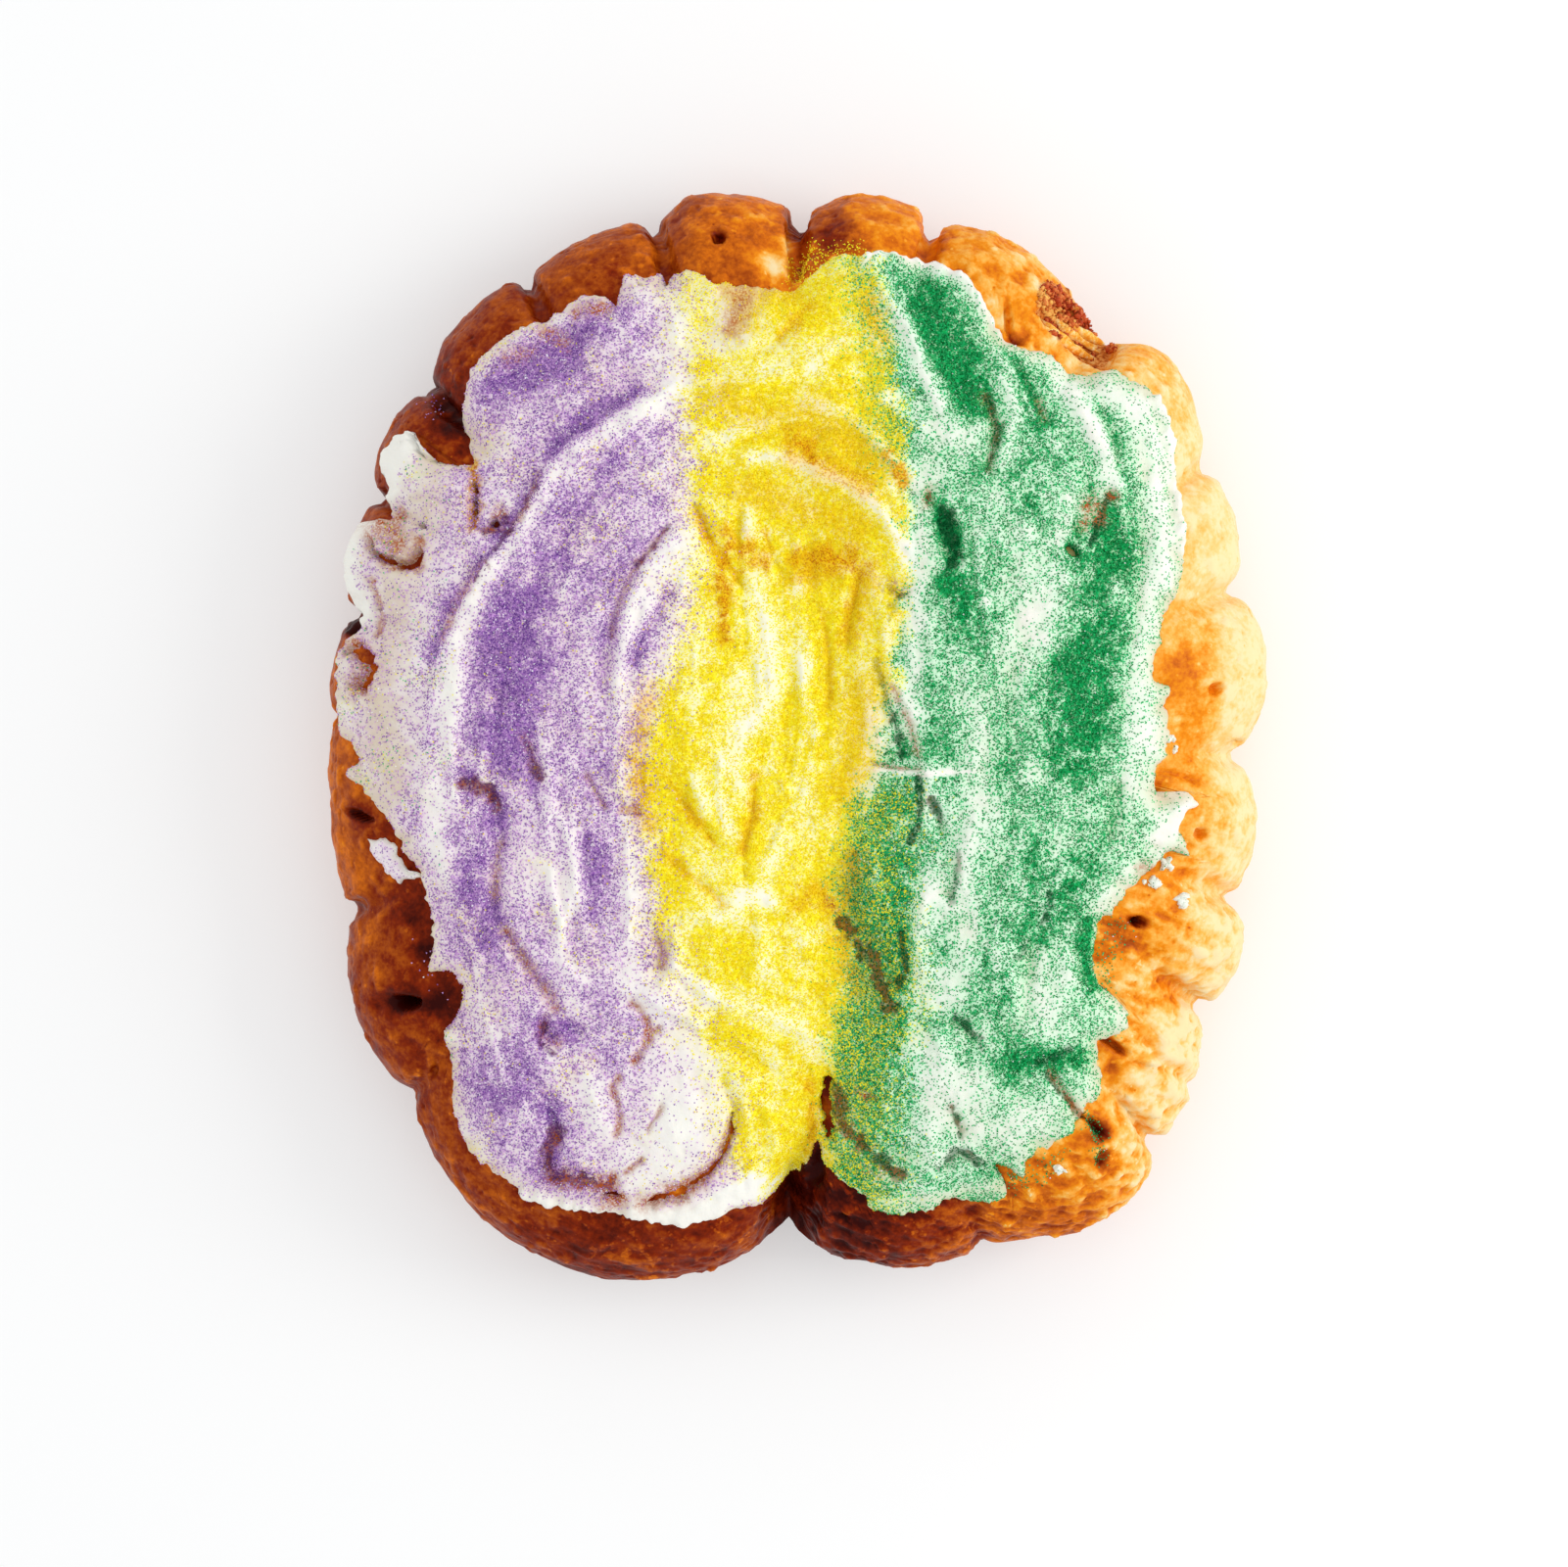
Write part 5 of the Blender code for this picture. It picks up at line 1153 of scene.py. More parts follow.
def build_bread():
    """The bread: a flat base, fine rows up its side, and coarse ones under the icing."""
    skin = Skin()
    turns = np.arange(BREAD_COLUMNS) / BREAD_COLUMNS
    angles = 2.0 * math.pi * turns
    reach = reach_at(angles, LOBED)
    rings = []
    for k in range(BREAD_ROWS_BELOW):
        level = WIDEST * (1.0 - math.cos(0.5 * math.pi * k / BREAD_ROWS_BELOW)) ** SIDE_ROUND
        radius = reach - UNDERCUT_IN * (1.0 - level / WIDEST) ** UNDERCUT_ROUND
        ring = [radius * np.cos(angles), radius * np.sin(angles), np.full(BREAD_COLUMNS, level)]
        rings.append(np.stack(ring, axis=1))
    edge = np.interp(angles, EDGE_ANGLES, EDGE_REACH, period=2.0 * math.pi)
    oval = reach_at(angles)
    edge_share = np.minimum(edge - UNDER_ICING, oval * EDGE_LIMIT - UNDER_ICING) / oval
    edge_climb = (1.0 - edge_share**DOME_ACROSS) ** (1.0 / DOME_UP)
    for k in range(BREAD_ROWS_ABOVE + 1):
        climb = edge_climb * k / BREAD_ROWS_ABOVE
        share = (1.0 - climb**DOME_UP) ** (1.0 / DOME_ACROSS)
        rings.append(bread_top(angles, share)[0])
    laid = [skin.ring(ring, turns) for ring in rings]
    steps = int((EDGE_REACH.mean() - UNDER_ICING) / HIDDEN_STEP)
    for k in range(1, steps):
        inner = 1.0 - k / steps
        count = max(8, round(2.0 * math.pi * HIDDEN_REACH * inner / HIDDEN_STEP))
        hidden_turns = np.arange(count) / count
        angle = 2.0 * math.pi * hidden_turns
        share = np.interp(angle, angles, edge_share, period=2.0 * math.pi)
        smooth = share * inner * inner + HIDDEN_START * inner * (1.0 - inner)
        laid.append(skin.ring(bread_top(angle, smooth)[0], hidden_turns))
    skin.bridge(laid)
    skin.close(laid[-1])
    points, faces = skin.mesh()
    normal = normals_of(points, faces)
    fine = np.arange(len(points)) < BREAD_COLUMNS * len(rings)
    rise, small = crust_relief(points)
    rise *= ramp(points[:, 2], 0.0, 7.0)
    points = points + np.where(fine, rise, np.minimum(rise, 0.0))[:, None] * normal
    points = np.concatenate([points, np.zeros((1, 3))])
    k = np.arange(BREAD_COLUMNS)
    under = np.stack([(k + 1) % BREAD_COLUMNS, k, np.full(BREAD_COLUMNS, len(points) - 1)], axis=1)
    faces = np.concatenate([faces, under])
    bread = mesh_object("crust", points, faces)
    upper = 0.35 + 0.65 * ramp(points[:, 2], *CALM_SIDE)
    # The tone: baking with painted light and shade, plus the small relief as painted highlight on
    # fold crests, painted shade in troughs and pits, and the blisters' own paler colour.
    attribute(bread, "tone", crust_tone_and_painted_light(points) + 0.24 * np.append(small, 0.0))
    attribute(bread, "fleck", by_angle(FLECKS, degrees_round(points)) * upper)
    attribute(bread, "upper", upper)
    attribute(bread, "torn", torn_dough(points))
    return bread, points, faces


def crust_tone_and_painted_light(points):
    """How pale the crust is, from 0 to 1: its baking, painted light on its right side, and painted
    shade in its creases, cleft and dents.
    """
    x, y, z = points.T
    angle = degrees_round(points)
    inner, outer = by_angle(BAKE_AND_PAINTED_LIGHT, angle, 1), by_angle(BAKE_AND_PAINTED_LIGHT, angle, 2)
    reach = reach_at(np.radians(angle))
    share = np.hypot(x, y) / reach
    wander = 0.04 * noise_sum(x, y, z, 10.0, 75)
    tone = inner + (outer - inner) * ramp(share + wander, 0.84, 0.96)
    tone = tone + 0.06 * noise_sum(x, y, z, 12.0, 71)
    # Painted shade: darker along each crease, the more so the deeper it is.
    for at, depth, width, start in CREASES:
        fade = ramp(share, start, start + CREASE_START)
        tone = tone - 0.05 * depth * fade * hill(off_crease(angle, at, reach), 1.6 * width)
    low = 1.0 - ramp(z, 0.0, 12.0)
    tone = tone + (0.45 - tone) * 0.4 * low
    # Painted shade: darker along the cleft.
    away, _, _ = distance_to(CLEFT_LINE, x, y)
    tone = tone - 0.16 * hill(away, 9.0)
    above = ramp(z, 14.0, 24.0)
    # Patches of baking, and patches of painted shade over dents, creases and the bay at (-96, 85).
    for place, radius, change in BAKED_AND_SHADED_PATCHES:
        away = np.hypot(x - place[0], y - place[1]) + 2.0 * noise(x, y, z, 5.0, 77)
        tone = tone + above * change * hill(away, radius)
    # Painted shade: darker inside each dent and hole, the more so the deeper it is.
    for *oval, depth in CRUST_DENTS:
        tone = tone - above * 0.055 * depth * (1.0 - ramp(in_oval(x, y, *oval), 0.5, 1.2))
    return tone


def torn_dough(points):
    """1 on the pale torn dough round the burst, 0 on the crust."""
    x, y, z = points.T
    away, along, _ = distance_to(BURST_LINE, x, y)
    away = away + 1.5 * noise(x, y, z, 2.0, 81)
    return ends_fade(along, 0.1) * (1.0 - ramp(away, BURST_WIDTH - 1.5, BURST_WIDTH + 1.5))


# ---------------------------------------------------------------- the icing


def icing_outline():
    """The icing's ragged edge, and the soft oval that it follows."""
    edge = evenly_round(ICING_EDGE, EDGE_STEP)
    x, y = edge.T
    angle = np.arctan2(y, x)
    fray = 0.75 * flat_noise(x, y, 2.2, 91) + 0.5 * flat_noise(x, y, 1.0, 92)
    reach = np.minimum(np.hypot(x, y) + fray, EDGE_LIMIT * reach_at(angle))
    edge = np.stack([reach * np.cos(angle), reach * np.sin(angle)], axis=1)
    return edge, np.stack([smoothed(edge[:, k], EDGE_STEP, 14.0) for k in (0, 1)], axis=1)


EDGE, SOFT_EDGE = icing_outline()
_angles = np.arctan2(EDGE[:, 1], EDGE[:, 0]) % (2.0 * math.pi)
_order = np.argsort(_angles)
EDGE_ANGLES = _angles[_order]
EDGE_REACH = np.hypot(EDGE[:, 0], EDGE[:, 1])[_order]


def from_edge(x, y, line):
    """Distance of each point from the closed line."""
    tree = tree_of(line, range(len(line)))
    return np.array([tree.find((px, py, 0.0))[2] for px, py in zip(x, y)])


def ridges(x, y):
    """The ridges and grooves that the spatula left in the icing."""
    height = np.zeros(len(x))
    for rise, left, right, route in RELIEF:
        line = curve_through(route, 4)
        some, px, py, away, along, side = near(line, x, y, 2.6 * max(left, right))
        away = np.abs(away * side + 0.30 * min(left, right) * flat_noise(px, py, 7.0, 101))
        ends = 0.15 + 0.85 * ramp(along, 0.0, 0.18) * ramp(1.0 - along, 0.0, 0.18)
        broken = 1.0 + 0.55 * flat_noise(px, py, 5.0, 102)
        height[some] += rise * ends * broken * hill(away, np.where(side > 0, left, right), 1.5)
    return height


def pass_lines(x, y):
    """The fine lines along each pass of the spatula, about -1 to 1."""
    height = np.zeros(len(x))
    for depth, width, route in PASSES:
        line = curve_through(route, 5)
        length = np.linalg.norm(np.diff(line, axis=0), axis=1).sum()
        some, px, py, away, along, side = near(line, x, y, 1.4 * width)
        across = away * side + 1.6 * flat_noise(px, py, 14.0, 103)
        middle = 1.0 - ramp(away, 0.6 * width, 1.3 * width)
        fade = middle * ramp(along, 0.0, 0.1) * ramp(1.0 - along, 0.0, 0.1)
        lines = flat_noise(across, along * length * 0.09, 3.6, 104)
        lines = lines + 0.6 * flat_noise(across, along * length * 0.10, 1.7, 105)
        patchy = 0.3 + 1.0 * ramp(flat_noise(px, py, 8.0, 106), -0.5, 0.6)
        height[some] += depth * fade * patchy * lines
    return height


def painted(strokes, x, y, ragged=1.0):
    """How strongly the strokes cover each place, 0 to 1, with ragged edges."""
    total = np.zeros(len(x))
    for strength, width, route in strokes:
        some, px, py, away, _, _ = near(curve_through(route, 3), x, y, 2.5 * width + 2.0)
        rough = 0.5 * flat_noise(px, py, 2.2, 111) + 0.4 * flat_noise(px, py, 1.0, 112)
        away = np.maximum(away + ragged * min(width, 2.0) * rough, 0.0)
        total[some] = np.maximum(total[some], strength * hill(away, width))
    return np.minimum(total, 1.0)


def rounded(inset, radius):
    """The height of a round edge of that radius."""
    return radius * np.sqrt(1.0 - (1.0 - np.clip(inset / radius, 0.0, 1.0)) ** 2)


def bitten(height, inset, depth, width):
    """The height, with the very edge pulled down into the bread."""
    bite = np.exp(-inset / width)
    return height * (1.0 - bite) - depth * bite


def icing_height(x, y, inset):
    """How far the icing's top stands off the bread, below 0 where the bread shows."""
    soft, fluff = flat_sum(x, y, 9.0, 121, 2), flat_sum(x, y, 2.6, 131, 2)
    full = ICING_DEPTH + ridges(x, y) + pass_lines(x, y) + 0.45 * soft + 0.40 * fluff
    full = np.maximum(full, THINNEST + 0.2 * fluff)
    full = full * (1.0 - 0.45 * painted(STAINS, x, y))
    gone = painted(BARE, x, y)
    full = full * (1.0 - ramp(gone, 0.2, 0.7)) - 1.6 * ramp(gone, 0.45, 0.95)
    for *oval, depth in PITS:
        floor = np.minimum(full, THINNEST if depth < THROUGH else -9.0)
        full = np.maximum(full - depth * (1.0 - ramp(in_oval(x, y, *oval), 0.4, 1.1)), floor)
    lip = rounded(inset, EDGE_ROUND) * (0.75 + 0.45 * flat_noise(x, y, 6.0, 133) + 0.25 * fluff)
    lip = lip * (1.0 + LIP_SWELL * painted(LIPS, x, y))
    rise = ramp(inset, 0.0, EDGE_RISE)
    return bitten(np.minimum(full, lip * (1.0 - rise) + full * rise), inset, 0.35, 0.3)


def sheet(edge, soft, step, height_of, sink):
    """A closed sheet on the bread: a fine top inside the edge, and a plain underside below it."""
    middle = soft.mean(axis=0)
    size = np.linalg.norm(soft - middle, axis=1).mean()
    whole = np.append(np.arange(len(edge)) / len(edge), 1.0)

    def ring_at(share, count):
        at = np.arange(count) / count
        ragged, plain = (
            np.stack([np.interp(at, whole, np.append(side, side[0])) for side in line.T], axis=1)
            for line in (edge, soft)
        )
        return middle + share * (plain - middle) + share**12 * (ragged - plain), at

    skin = Skin()
    layout = [ring_at(1.0, len(edge))]
    insets = [0.25, 0.6, 1.05, 1.6, 2.3]
    while insets[-1] < size - 1.5 * step:
        insets.append(insets[-1] + step)
    for inset in insets:
        share = 1.0 - inset / size
        count = len(edge) if inset < 2.0 else max(8, round(len(edge) * 0.7 * share / step))
        layout.append(ring_at(share, count))
    x, y = np.concatenate([points for points, _ in layout]).T
    inset = from_edge(x, y, edge)
    inset[: len(edge)] = 0.0
    height = height_of(x, y, inset)
    points, normal = on_bread(x, y)
    raised = points + height[:, None] * normal
    first, rings = 0, []
    for ring_points, at in layout:
        rings.append(skin.ring(raised[first : first + len(ring_points)], at))
        first += len(ring_points)
    skin.bridge(rings)
    skin.close(rings[-1])
    under = [rings[0]]
    for share in np.linspace(0.97, 0.1, 14):
        ring_points, at = ring_at(share, max(6, round(len(edge) * share * 0.16)))
        points, normal = on_bread(*ring_points.T)
        under.append(skin.ring(points - sink * normal, at))
    before = len(skin.faces)
    skin.bridge(under)
    skin.close(under[-1])
    skin.faces[before:] = [face[:, ::-1] for face in skin.faces[before:]]
    return *skin.mesh(), x, y, inset, height


def right_of(line, x, y):
    """How far each point is to the right of a line that runs down the cake."""
    table = np.array(line)[::-1]
    return x - np.interp(y, table[:, 1], table[:, 0])


def sugar_cover(x, y, inset, height):
    """How thickly purple, yellow and green sugar lie at each place, each 0 to 1."""
    clump = 0.45 * flat_sum(x, y, 9.0, 141, 2) + 0.55 * flat_sum(x, y, 3.2, 151, 2)
    clump = clump - 0.50 * pass_lines(x, y)
    above = np.clip(height - ICING_DEPTH, -1.5, 1.5) * ramp(inset, 2.0, EDGE_RISE)
    clump = clump - 0.16 * above
    wander = 2.6 * flat_sum(x, y, 14.0, 161) + 2.4 * flat_noise(x, y, 3.2, 162)
    past_purple = right_of(PURPLE_TO_YELLOW, x, y) + wander
    past_yellow = right_of(YELLOW_TO_GREEN, x, y) + wander
    purple_band = 1.0 - ramp(past_purple, -9.0, 5.0)
    green_band = ramp(past_yellow, -3.0, 5.0)
    yellow_band = ramp(past_purple, -3.5, 3.0) * (1.0 - ramp(past_yellow, -4.0, 4.0))
    bands = (purple_band, yellow_band, green_band)
    cover = []
    for drifts, base, band in zip((PURPLE_DRIFTS, YELLOW_DRIFTS, GREEN_DRIFTS), USUAL, bands):
        thick = np.full(len(x), base)
        for strength, width, route in drifts:
            some, px, py, away, _, _ = near(curve_through(route, 4), x, y, 2.6 * width)
            ragged = 0.35 * min(width, 5.0) * flat_noise(px, py, 5.0, 171)
            thick[some] += strength * hill(np.maximum(away + ragged, 0.0), width)
        cover.append(band * np.clip(np.maximum(thick, SPARSE) * (1.0 + clump), 0.02, 1.0))
    purple, yellow, green = cover
    # stray grains of the other colours in the purple
    mixed = np.maximum(flat_noise(x, y, 7.0, 174), 0.0) + 0.1
    yellow = yellow + 0.035 * mixed * purple_band
    green = green + 0.03 * mixed * purple_band * (x < -95)
    # each colour spilled a little over its borders
    spilled = 1.0 + clump
    past = np.maximum(past_purple, 0.0)
    purple = purple + 0.045 * spilled * hill(past, 8.0) * ramp(past_purple, -3.0, 3.0)
    before = np.minimum(past_purple, 0.0)
    yellow = yellow + 0.07 * spilled * hill(before, 8.0) * (1.0 - ramp(past_purple, -3.0, 0.0))
    # yellow and green lie mixed along the lower seam, and a little at the top of it
    seam = hill(past_yellow - 6.0, 9.0)
    upper_seam = ramp(y, -98.0, -80.0)
    seam *= 1.0 - ramp(y, -26.0, -10.0)
    yellow = yellow + (0.36 + 0.16 * upper_seam) * seam * spilled
    green = green + (0.14 + 0.31 * upper_seam) * seam * spilled * ramp(past_yellow, -8.0, 2.0)
    green = green + 0.25 * (hill(past_yellow + 2.0, 6.0) * ramp(y, 60.0, 90.0)) * spilled
    edge = np.maximum(ramp(inset + 1.0 * flat_noise(x, y, 3.0, 172), -0.3, 1.5), 0.2)
    edge = edge * (1.0 - painted(LIPS, x, y)) * (1.0 - 0.6 * painted(STAINS, x, y))
    total = np.maximum(purple + yellow + green, 1.0)
    return [np.clip(part * edge / total, 0.0, 1.0) for part in (purple, yellow, green)]


def paint_icing(item, count, **looks):
    """Sets looks on an icing mesh's first points, and 0 on the rest and for looks not given."""
    for name in (*SUGAR, "stained", "amber", "dark", "body"):
        full = np.zeros(len(item.data.vertices))
        if name in looks:
            full[:count] = looks[name]
        attribute(item, name, full)


def build_icing():
    points, faces, x, y, inset, height = sheet(EDGE, SOFT_EDGE, ICING_STEP, icing_height, SINK)
    icing = mesh_object("icing_top", points, faces)
    cover = sugar_cover(x, y, inset, height)
    body = ramp(height, 0.8, 4.4) * (1.0 - painted(THIN, x, y, 3.0))
    paint_icing(
        icing,
        len(x),
        stained=np.maximum(painted(STAINS, x, y), painted(BARE, x, y) * (inset > 0.5)),
        amber=painted(AMBER, x, y, AMBER_RAGGED),
        # painted shade in the deep folds
        dark=painted(PAINTED_SHADE_FOLDS, x, y, PAINTED_SHADE_RAGGED),
        body=np.maximum(body, painted(LIPS, x, y)),
        **dict(zip(SUGAR, cover)),
    )
    return icing, points, faces, cover


def flake_height(x, y, inset):
    """How far the flake's top stands off the crust."""
    lumps = 1.0 * flat_sum(x, y, 2.6, 183, 3)
    height = rounded(inset, 1.3) + (0.9 + lumps) * ramp(inset, 0.3, 2.2)
    return bitten(height, inset, 0.3, 0.25)


def build_flake():
    """The flake of icing that lies apart on the left of the crust."""
    edge = evenly_round(FLAKE_EDGE, FLAKE_STEP)
    x, y = edge.T
    fray = 0.35 * flat_noise(x, y, 1.6, 181) + 0.30 * flat_noise(x, y, 0.8, 182)
    middle = edge.mean(axis=0)
    out = edge - middle
    edge = edge + fray[:, None] * out / np.linalg.norm(out, axis=1)[:, None]
    points, faces, x, y, inset, _ = sheet(edge, middle + 0.9 * out, 0.45, flake_height, FLAKE_SINK)
    item = mesh_object("icing_flake_top", points, faces)
    purple = np.clip(0.30 * (1.0 + flat_sum(x, y, 2.4, 185)) * ramp(inset, 0.2, 1.4), 0.0, 1.0)
    paint_icing(item, len(x), purple=purple, body=1.0)
    return item


# ---------------------------------------------------------------- the burst


def turned(count, random):
    """Random rotations, as one 3 x 3 matrix each."""
    q = random.normal(size=(count, 4))
    w, x, y, z = (q / np.linalg.norm(q, axis=1)[:, None]).T
    rows = [
        (1 - 2 * (y * y + z * z), 2 * (x * y - z * w), 2 * (x * z + y * w)),
        (2 * (x * y + z * w), 1 - 2 * (x * x + z * z), 2 * (y * z - x * w)),
        (2 * (x * z - y * w), 2 * (y * z + x * w), 1 - 2 * (x * x + y * y)),
    ]
    return np.stack([np.stack(row, axis=1) for row in rows], axis=1)


def one_mesh(copies, triangles):
    """Points and faces of one mesh, from copies of a shape that share its triangles."""
    count, each, _ = copies.shape
    faces = triangles[None] + each * np.arange(count)[:, None, None]
    return copies.reshape(-1, 3), faces.reshape(-1, 3)


def lumpy_balls(places, radii, random, level=1):
    """One mesh of separate lumps: small balls, each pushed in and out by noise."""
    ball = bmesh.new()
    bmesh.ops.create_icosphere(ball, subdivisions=level, radius=1.0)
    shape = np.array([vertex.co for vertex in ball.verts])
    triangles = np.array([[vertex.index for vertex in face.verts] for face in ball.faces])
    ball.free()
    count = len(places)
    stretch = random.uniform(0.35, 1.35, (count, 1, 3))
    pushed = np.repeat(shape[None], count, axis=0) + random.uniform(0.0, 90.0, (count, 1, 3))
    bumps = noise_sum(*pushed.transpose(2, 0, 1), 0.7, 191, 2)
    points = shape[None] * stretch * (1.0 + 0.9 * bumps[:, :, None])
    points = np.einsum("nij,nkj->nki", turned(count, random), points)
    return one_mesh(places[:, None, :] + radii[:, None, None] * points, triangles)


def build_crumbs(points, faces, random):
    """The crumbly filling that swells out of the burst."""
    normal = normals_of(points, faces)
    x, y, z = points.T
    away, along, side = distance_to(curve_through(BURST_FILLING, 4), x, y)
    reach = FILLING_REACH * (0.35 + 0.65 * (1.0 - ramp(along, 0.55, 0.8)))
    inside = (away < reach) & (z > WIDEST) & (z < CRUMBS_TOP)
    weight = np.where(inside, 1.0 - 0.5 * away / reach, 0.0)
    below, _, _ = distance_to(curve_through(CRUMB_SHADOW, 4), x, y)
    below = (below < 2.3) & ~inside & (z > WIDEST)
    weight = np.where(below, 0.5, weight)
    picked = random.choice(len(points), CRUMBS, p=weight / weight.sum())
    radii = (0.25 + 0.75 * random.uniform(0.0, 1.0, CRUMBS) ** 2.5) * CRUMB_SIZE
    heap = CRUMB_HEAP * (1.0 - 0.8 * (away / reach)[picked])
    heap = np.where(below[picked], 0.0, heap * (1.0 - 0.6 * ramp(along[picked], 0.5, 0.8)))
    lift = random.uniform(-0.2, 1.0, CRUMBS) * heap
    places = points[picked] + lift[:, None] * normal[picked]
    made, made_faces = lumpy_balls(places, radii, random)
    item = mesh_object("filling_crumbs", made, made_faces)
    # The crumbs under the strands are not made paler like those on the inner side: they stay dark
    # as painted shadow under the strands.
    inner = ramp((-away * side)[picked], -1.0, 3.0) * ~below[picked]
    shade = 0.6 * random.uniform(0.0, 1.0, CRUMBS) + 0.6 * inner
    attribute(item, "shade", np.repeat(shade, len(made) // CRUMBS))
    return item


def ground_of(crust):
    """A function that looks up the crust's height at places seen from above."""
    tree = tree_of(crust, np.nonzero(crust[:, 2] > WIDEST)[0])
    return lambda places: np.array([crust[tree.find((x, y, 0.0))[1], 2] for x, y in places])


def build_dabs(ground, random):
    """Small dabs of icing on the crust."""
    places, radii = [], []
    for middle, wide, long, count in DABS:
        turn = random.uniform(0.0, 2.0 * math.pi, count)
        out = random.uniform(0.0, 1.0, count) ** 0.5
        aside = np.stack([wide * out * np.cos(turn), long * out * np.sin(turn)], axis=1)
        dots = np.array(middle) + aside
        places.append(np.column_stack([dots, ground(dots)]))
        radii.append(DAB_LUMP * random.uniform(0.5, 1.1, count))
    points, faces = lumpy_balls(np.concatenate(places), np.concatenate(radii), random, 2)
    item = mesh_object("icing_dabs", points, faces)
    paint_icing(item, len(points), body=1.0, green=0.04)
    return item


def tube_faces(first, rings, sides):
    """The triangles of a tube with flat ends, whose points start at first."""
    faces = []
    last = first + (rings - 1) * sides
    for low in range(first, last, sides):
        for a in range(sides):
            b = (a + 1) % sides
            faces.append((low + a, low + b, low + sides + b))
            faces.append((low + a, low + sides + b, low + sides + a))
    for a in range(1, sides - 1):
        faces.append((first, first + a + 1, first + a))
        faces.append((last, last + a, last + a + 1))
    return faces


def build_strands(ground, random):
    """Strands of torn dough across the lower side of the burst."""
    share = np.linspace(0.0, 1.0, STRAND_POINTS)
    arch = np.sin(math.pi * share)
    around = 2.0 * math.pi * np.arange(STRAND_SIDES) / STRAND_SIDES
    blocks, faces = [], []
    for k in range(STRANDS):
        aside = (k - 0.5 * (STRANDS - 1)) * STRAND_GAP + random.uniform(-0.8, 0.8)
        start = np.array(STRAND_START) + random.uniform(-1.0, 1.0, 2) + aside * np.array((0.7, 0.7))
        end = np.array(STRAND_END) + random.uniform(-1.2, 1.2, 2) + aside * np.array((0.5, 0.8))
        middle = 0.5 * (start + end) + np.array((-0.6, -0.9)) * random.uniform(0.3, 2.0)
        bend = (1 - share)[:, None] ** 2 * start + 2 * (share * (1 - share))[:, None] * middle
        route = bend + share[:, None] ** 2 * end
        level = np.convolve(np.pad(ground(route), 2, "edge"), np.full(5, 0.2), "valid")
        level += random.uniform(0.8, 2.4) * arch + 0.5
        radius = random.uniform(0.55, 1.15) * (0.25 + arch**0.5)
        run = end - start
        side = np.array((-run[1], run[0])) / np.linalg.norm(run)
        for (px, py), pz, size in zip(route, level, radius):
            wide = size * (1.0 + 0.3 * random.uniform(-1.0, 1.0)) * np.cos(around)
            ring = [px + wide * side[0], py + wide * side[1], pz + 0.7 * size * np.sin(around)]
            blocks.append(np.stack(ring, axis=1))
        faces += tube_faces(k * STRAND_POINTS * STRAND_SIDES, STRAND_POINTS, STRAND_SIDES)
    return mesh_object("dough_strands", np.concatenate(blocks), np.array(faces))


# ---------------------------------------------------------------- the sugar's grains

GRAIN_POINTS = np.array([(1, 1, 1), (1, -1, -1), (-1, 1, -1), (-1, -1, 1)], float)
GRAIN_FACES = np.array([(0, 1, 2), (0, 3, 1), (0, 2, 3), (1, 3, 2)])


def grains(name, places, thick, random):
    """One mesh of grains of sugar at the given places, paler where the sugar lies thin."""
    count = len(places)
    shape = GRAIN_POINTS[None] * (GRAIN_SIZE * random.uniform(0.7, 1.25, (count, 1, 3)))
    shape = np.einsum("nij,nkj->nki", turned(count, random), shape)
    points, faces = one_mesh(places[:, None, :] + shape, GRAIN_FACES)
    item = mesh_object(name, points, faces, smooth=False)
    dice = random.uniform(0.0, 1.0, count)
    paler = np.clip(dice + 0.45 * (0.55 - thick), 0.0, 0.95)
    # The top few grains keep their full dice, high enough to be painted as glints.
    looks = {"shade": np.where(dice < 0.955, paler, dice)}
    x, y, _ = places.T
    looks["amber"] = painted(AMBER, x, y, AMBER_RAGGED)
    # the painted shade of the deep folds, for each grain
    looks["dark"] = painted(PAINTED_SHADE_FOLDS, x, y, PAINTED_SHADE_RAGGED)
    for look, values in looks.items():
        attribute(item, look, np.repeat(values, len(GRAIN_POINTS)))
    return item


def scattered(points, faces, normal, cover, count, random):
    """Places on the mesh, chosen so that there are more where the cover is thicker."""
    area = 0.5 * np.linalg.norm(across_faces(points[faces]), axis=1)
    weight = area * cover[faces].mean(axis=1)
    picked = random.choice(len(faces), count, p=weight / weight.sum())
    mix = random.dirichlet((1.0, 1.0, 1.0), count)[:, :, None]
    place = (points[faces[picked]] * mix).sum(axis=1)
    up = (normal[faces[picked]] * mix).sum(axis=1)
    thick = (cover[faces[picked]] * mix[:, :, 0]).sum(axis=1)
    return place + up * random.uniform(0.0, 0.6, (count, 1)) * GRAIN_SIZE, thick


# ---------------------------------------------------------------- materials


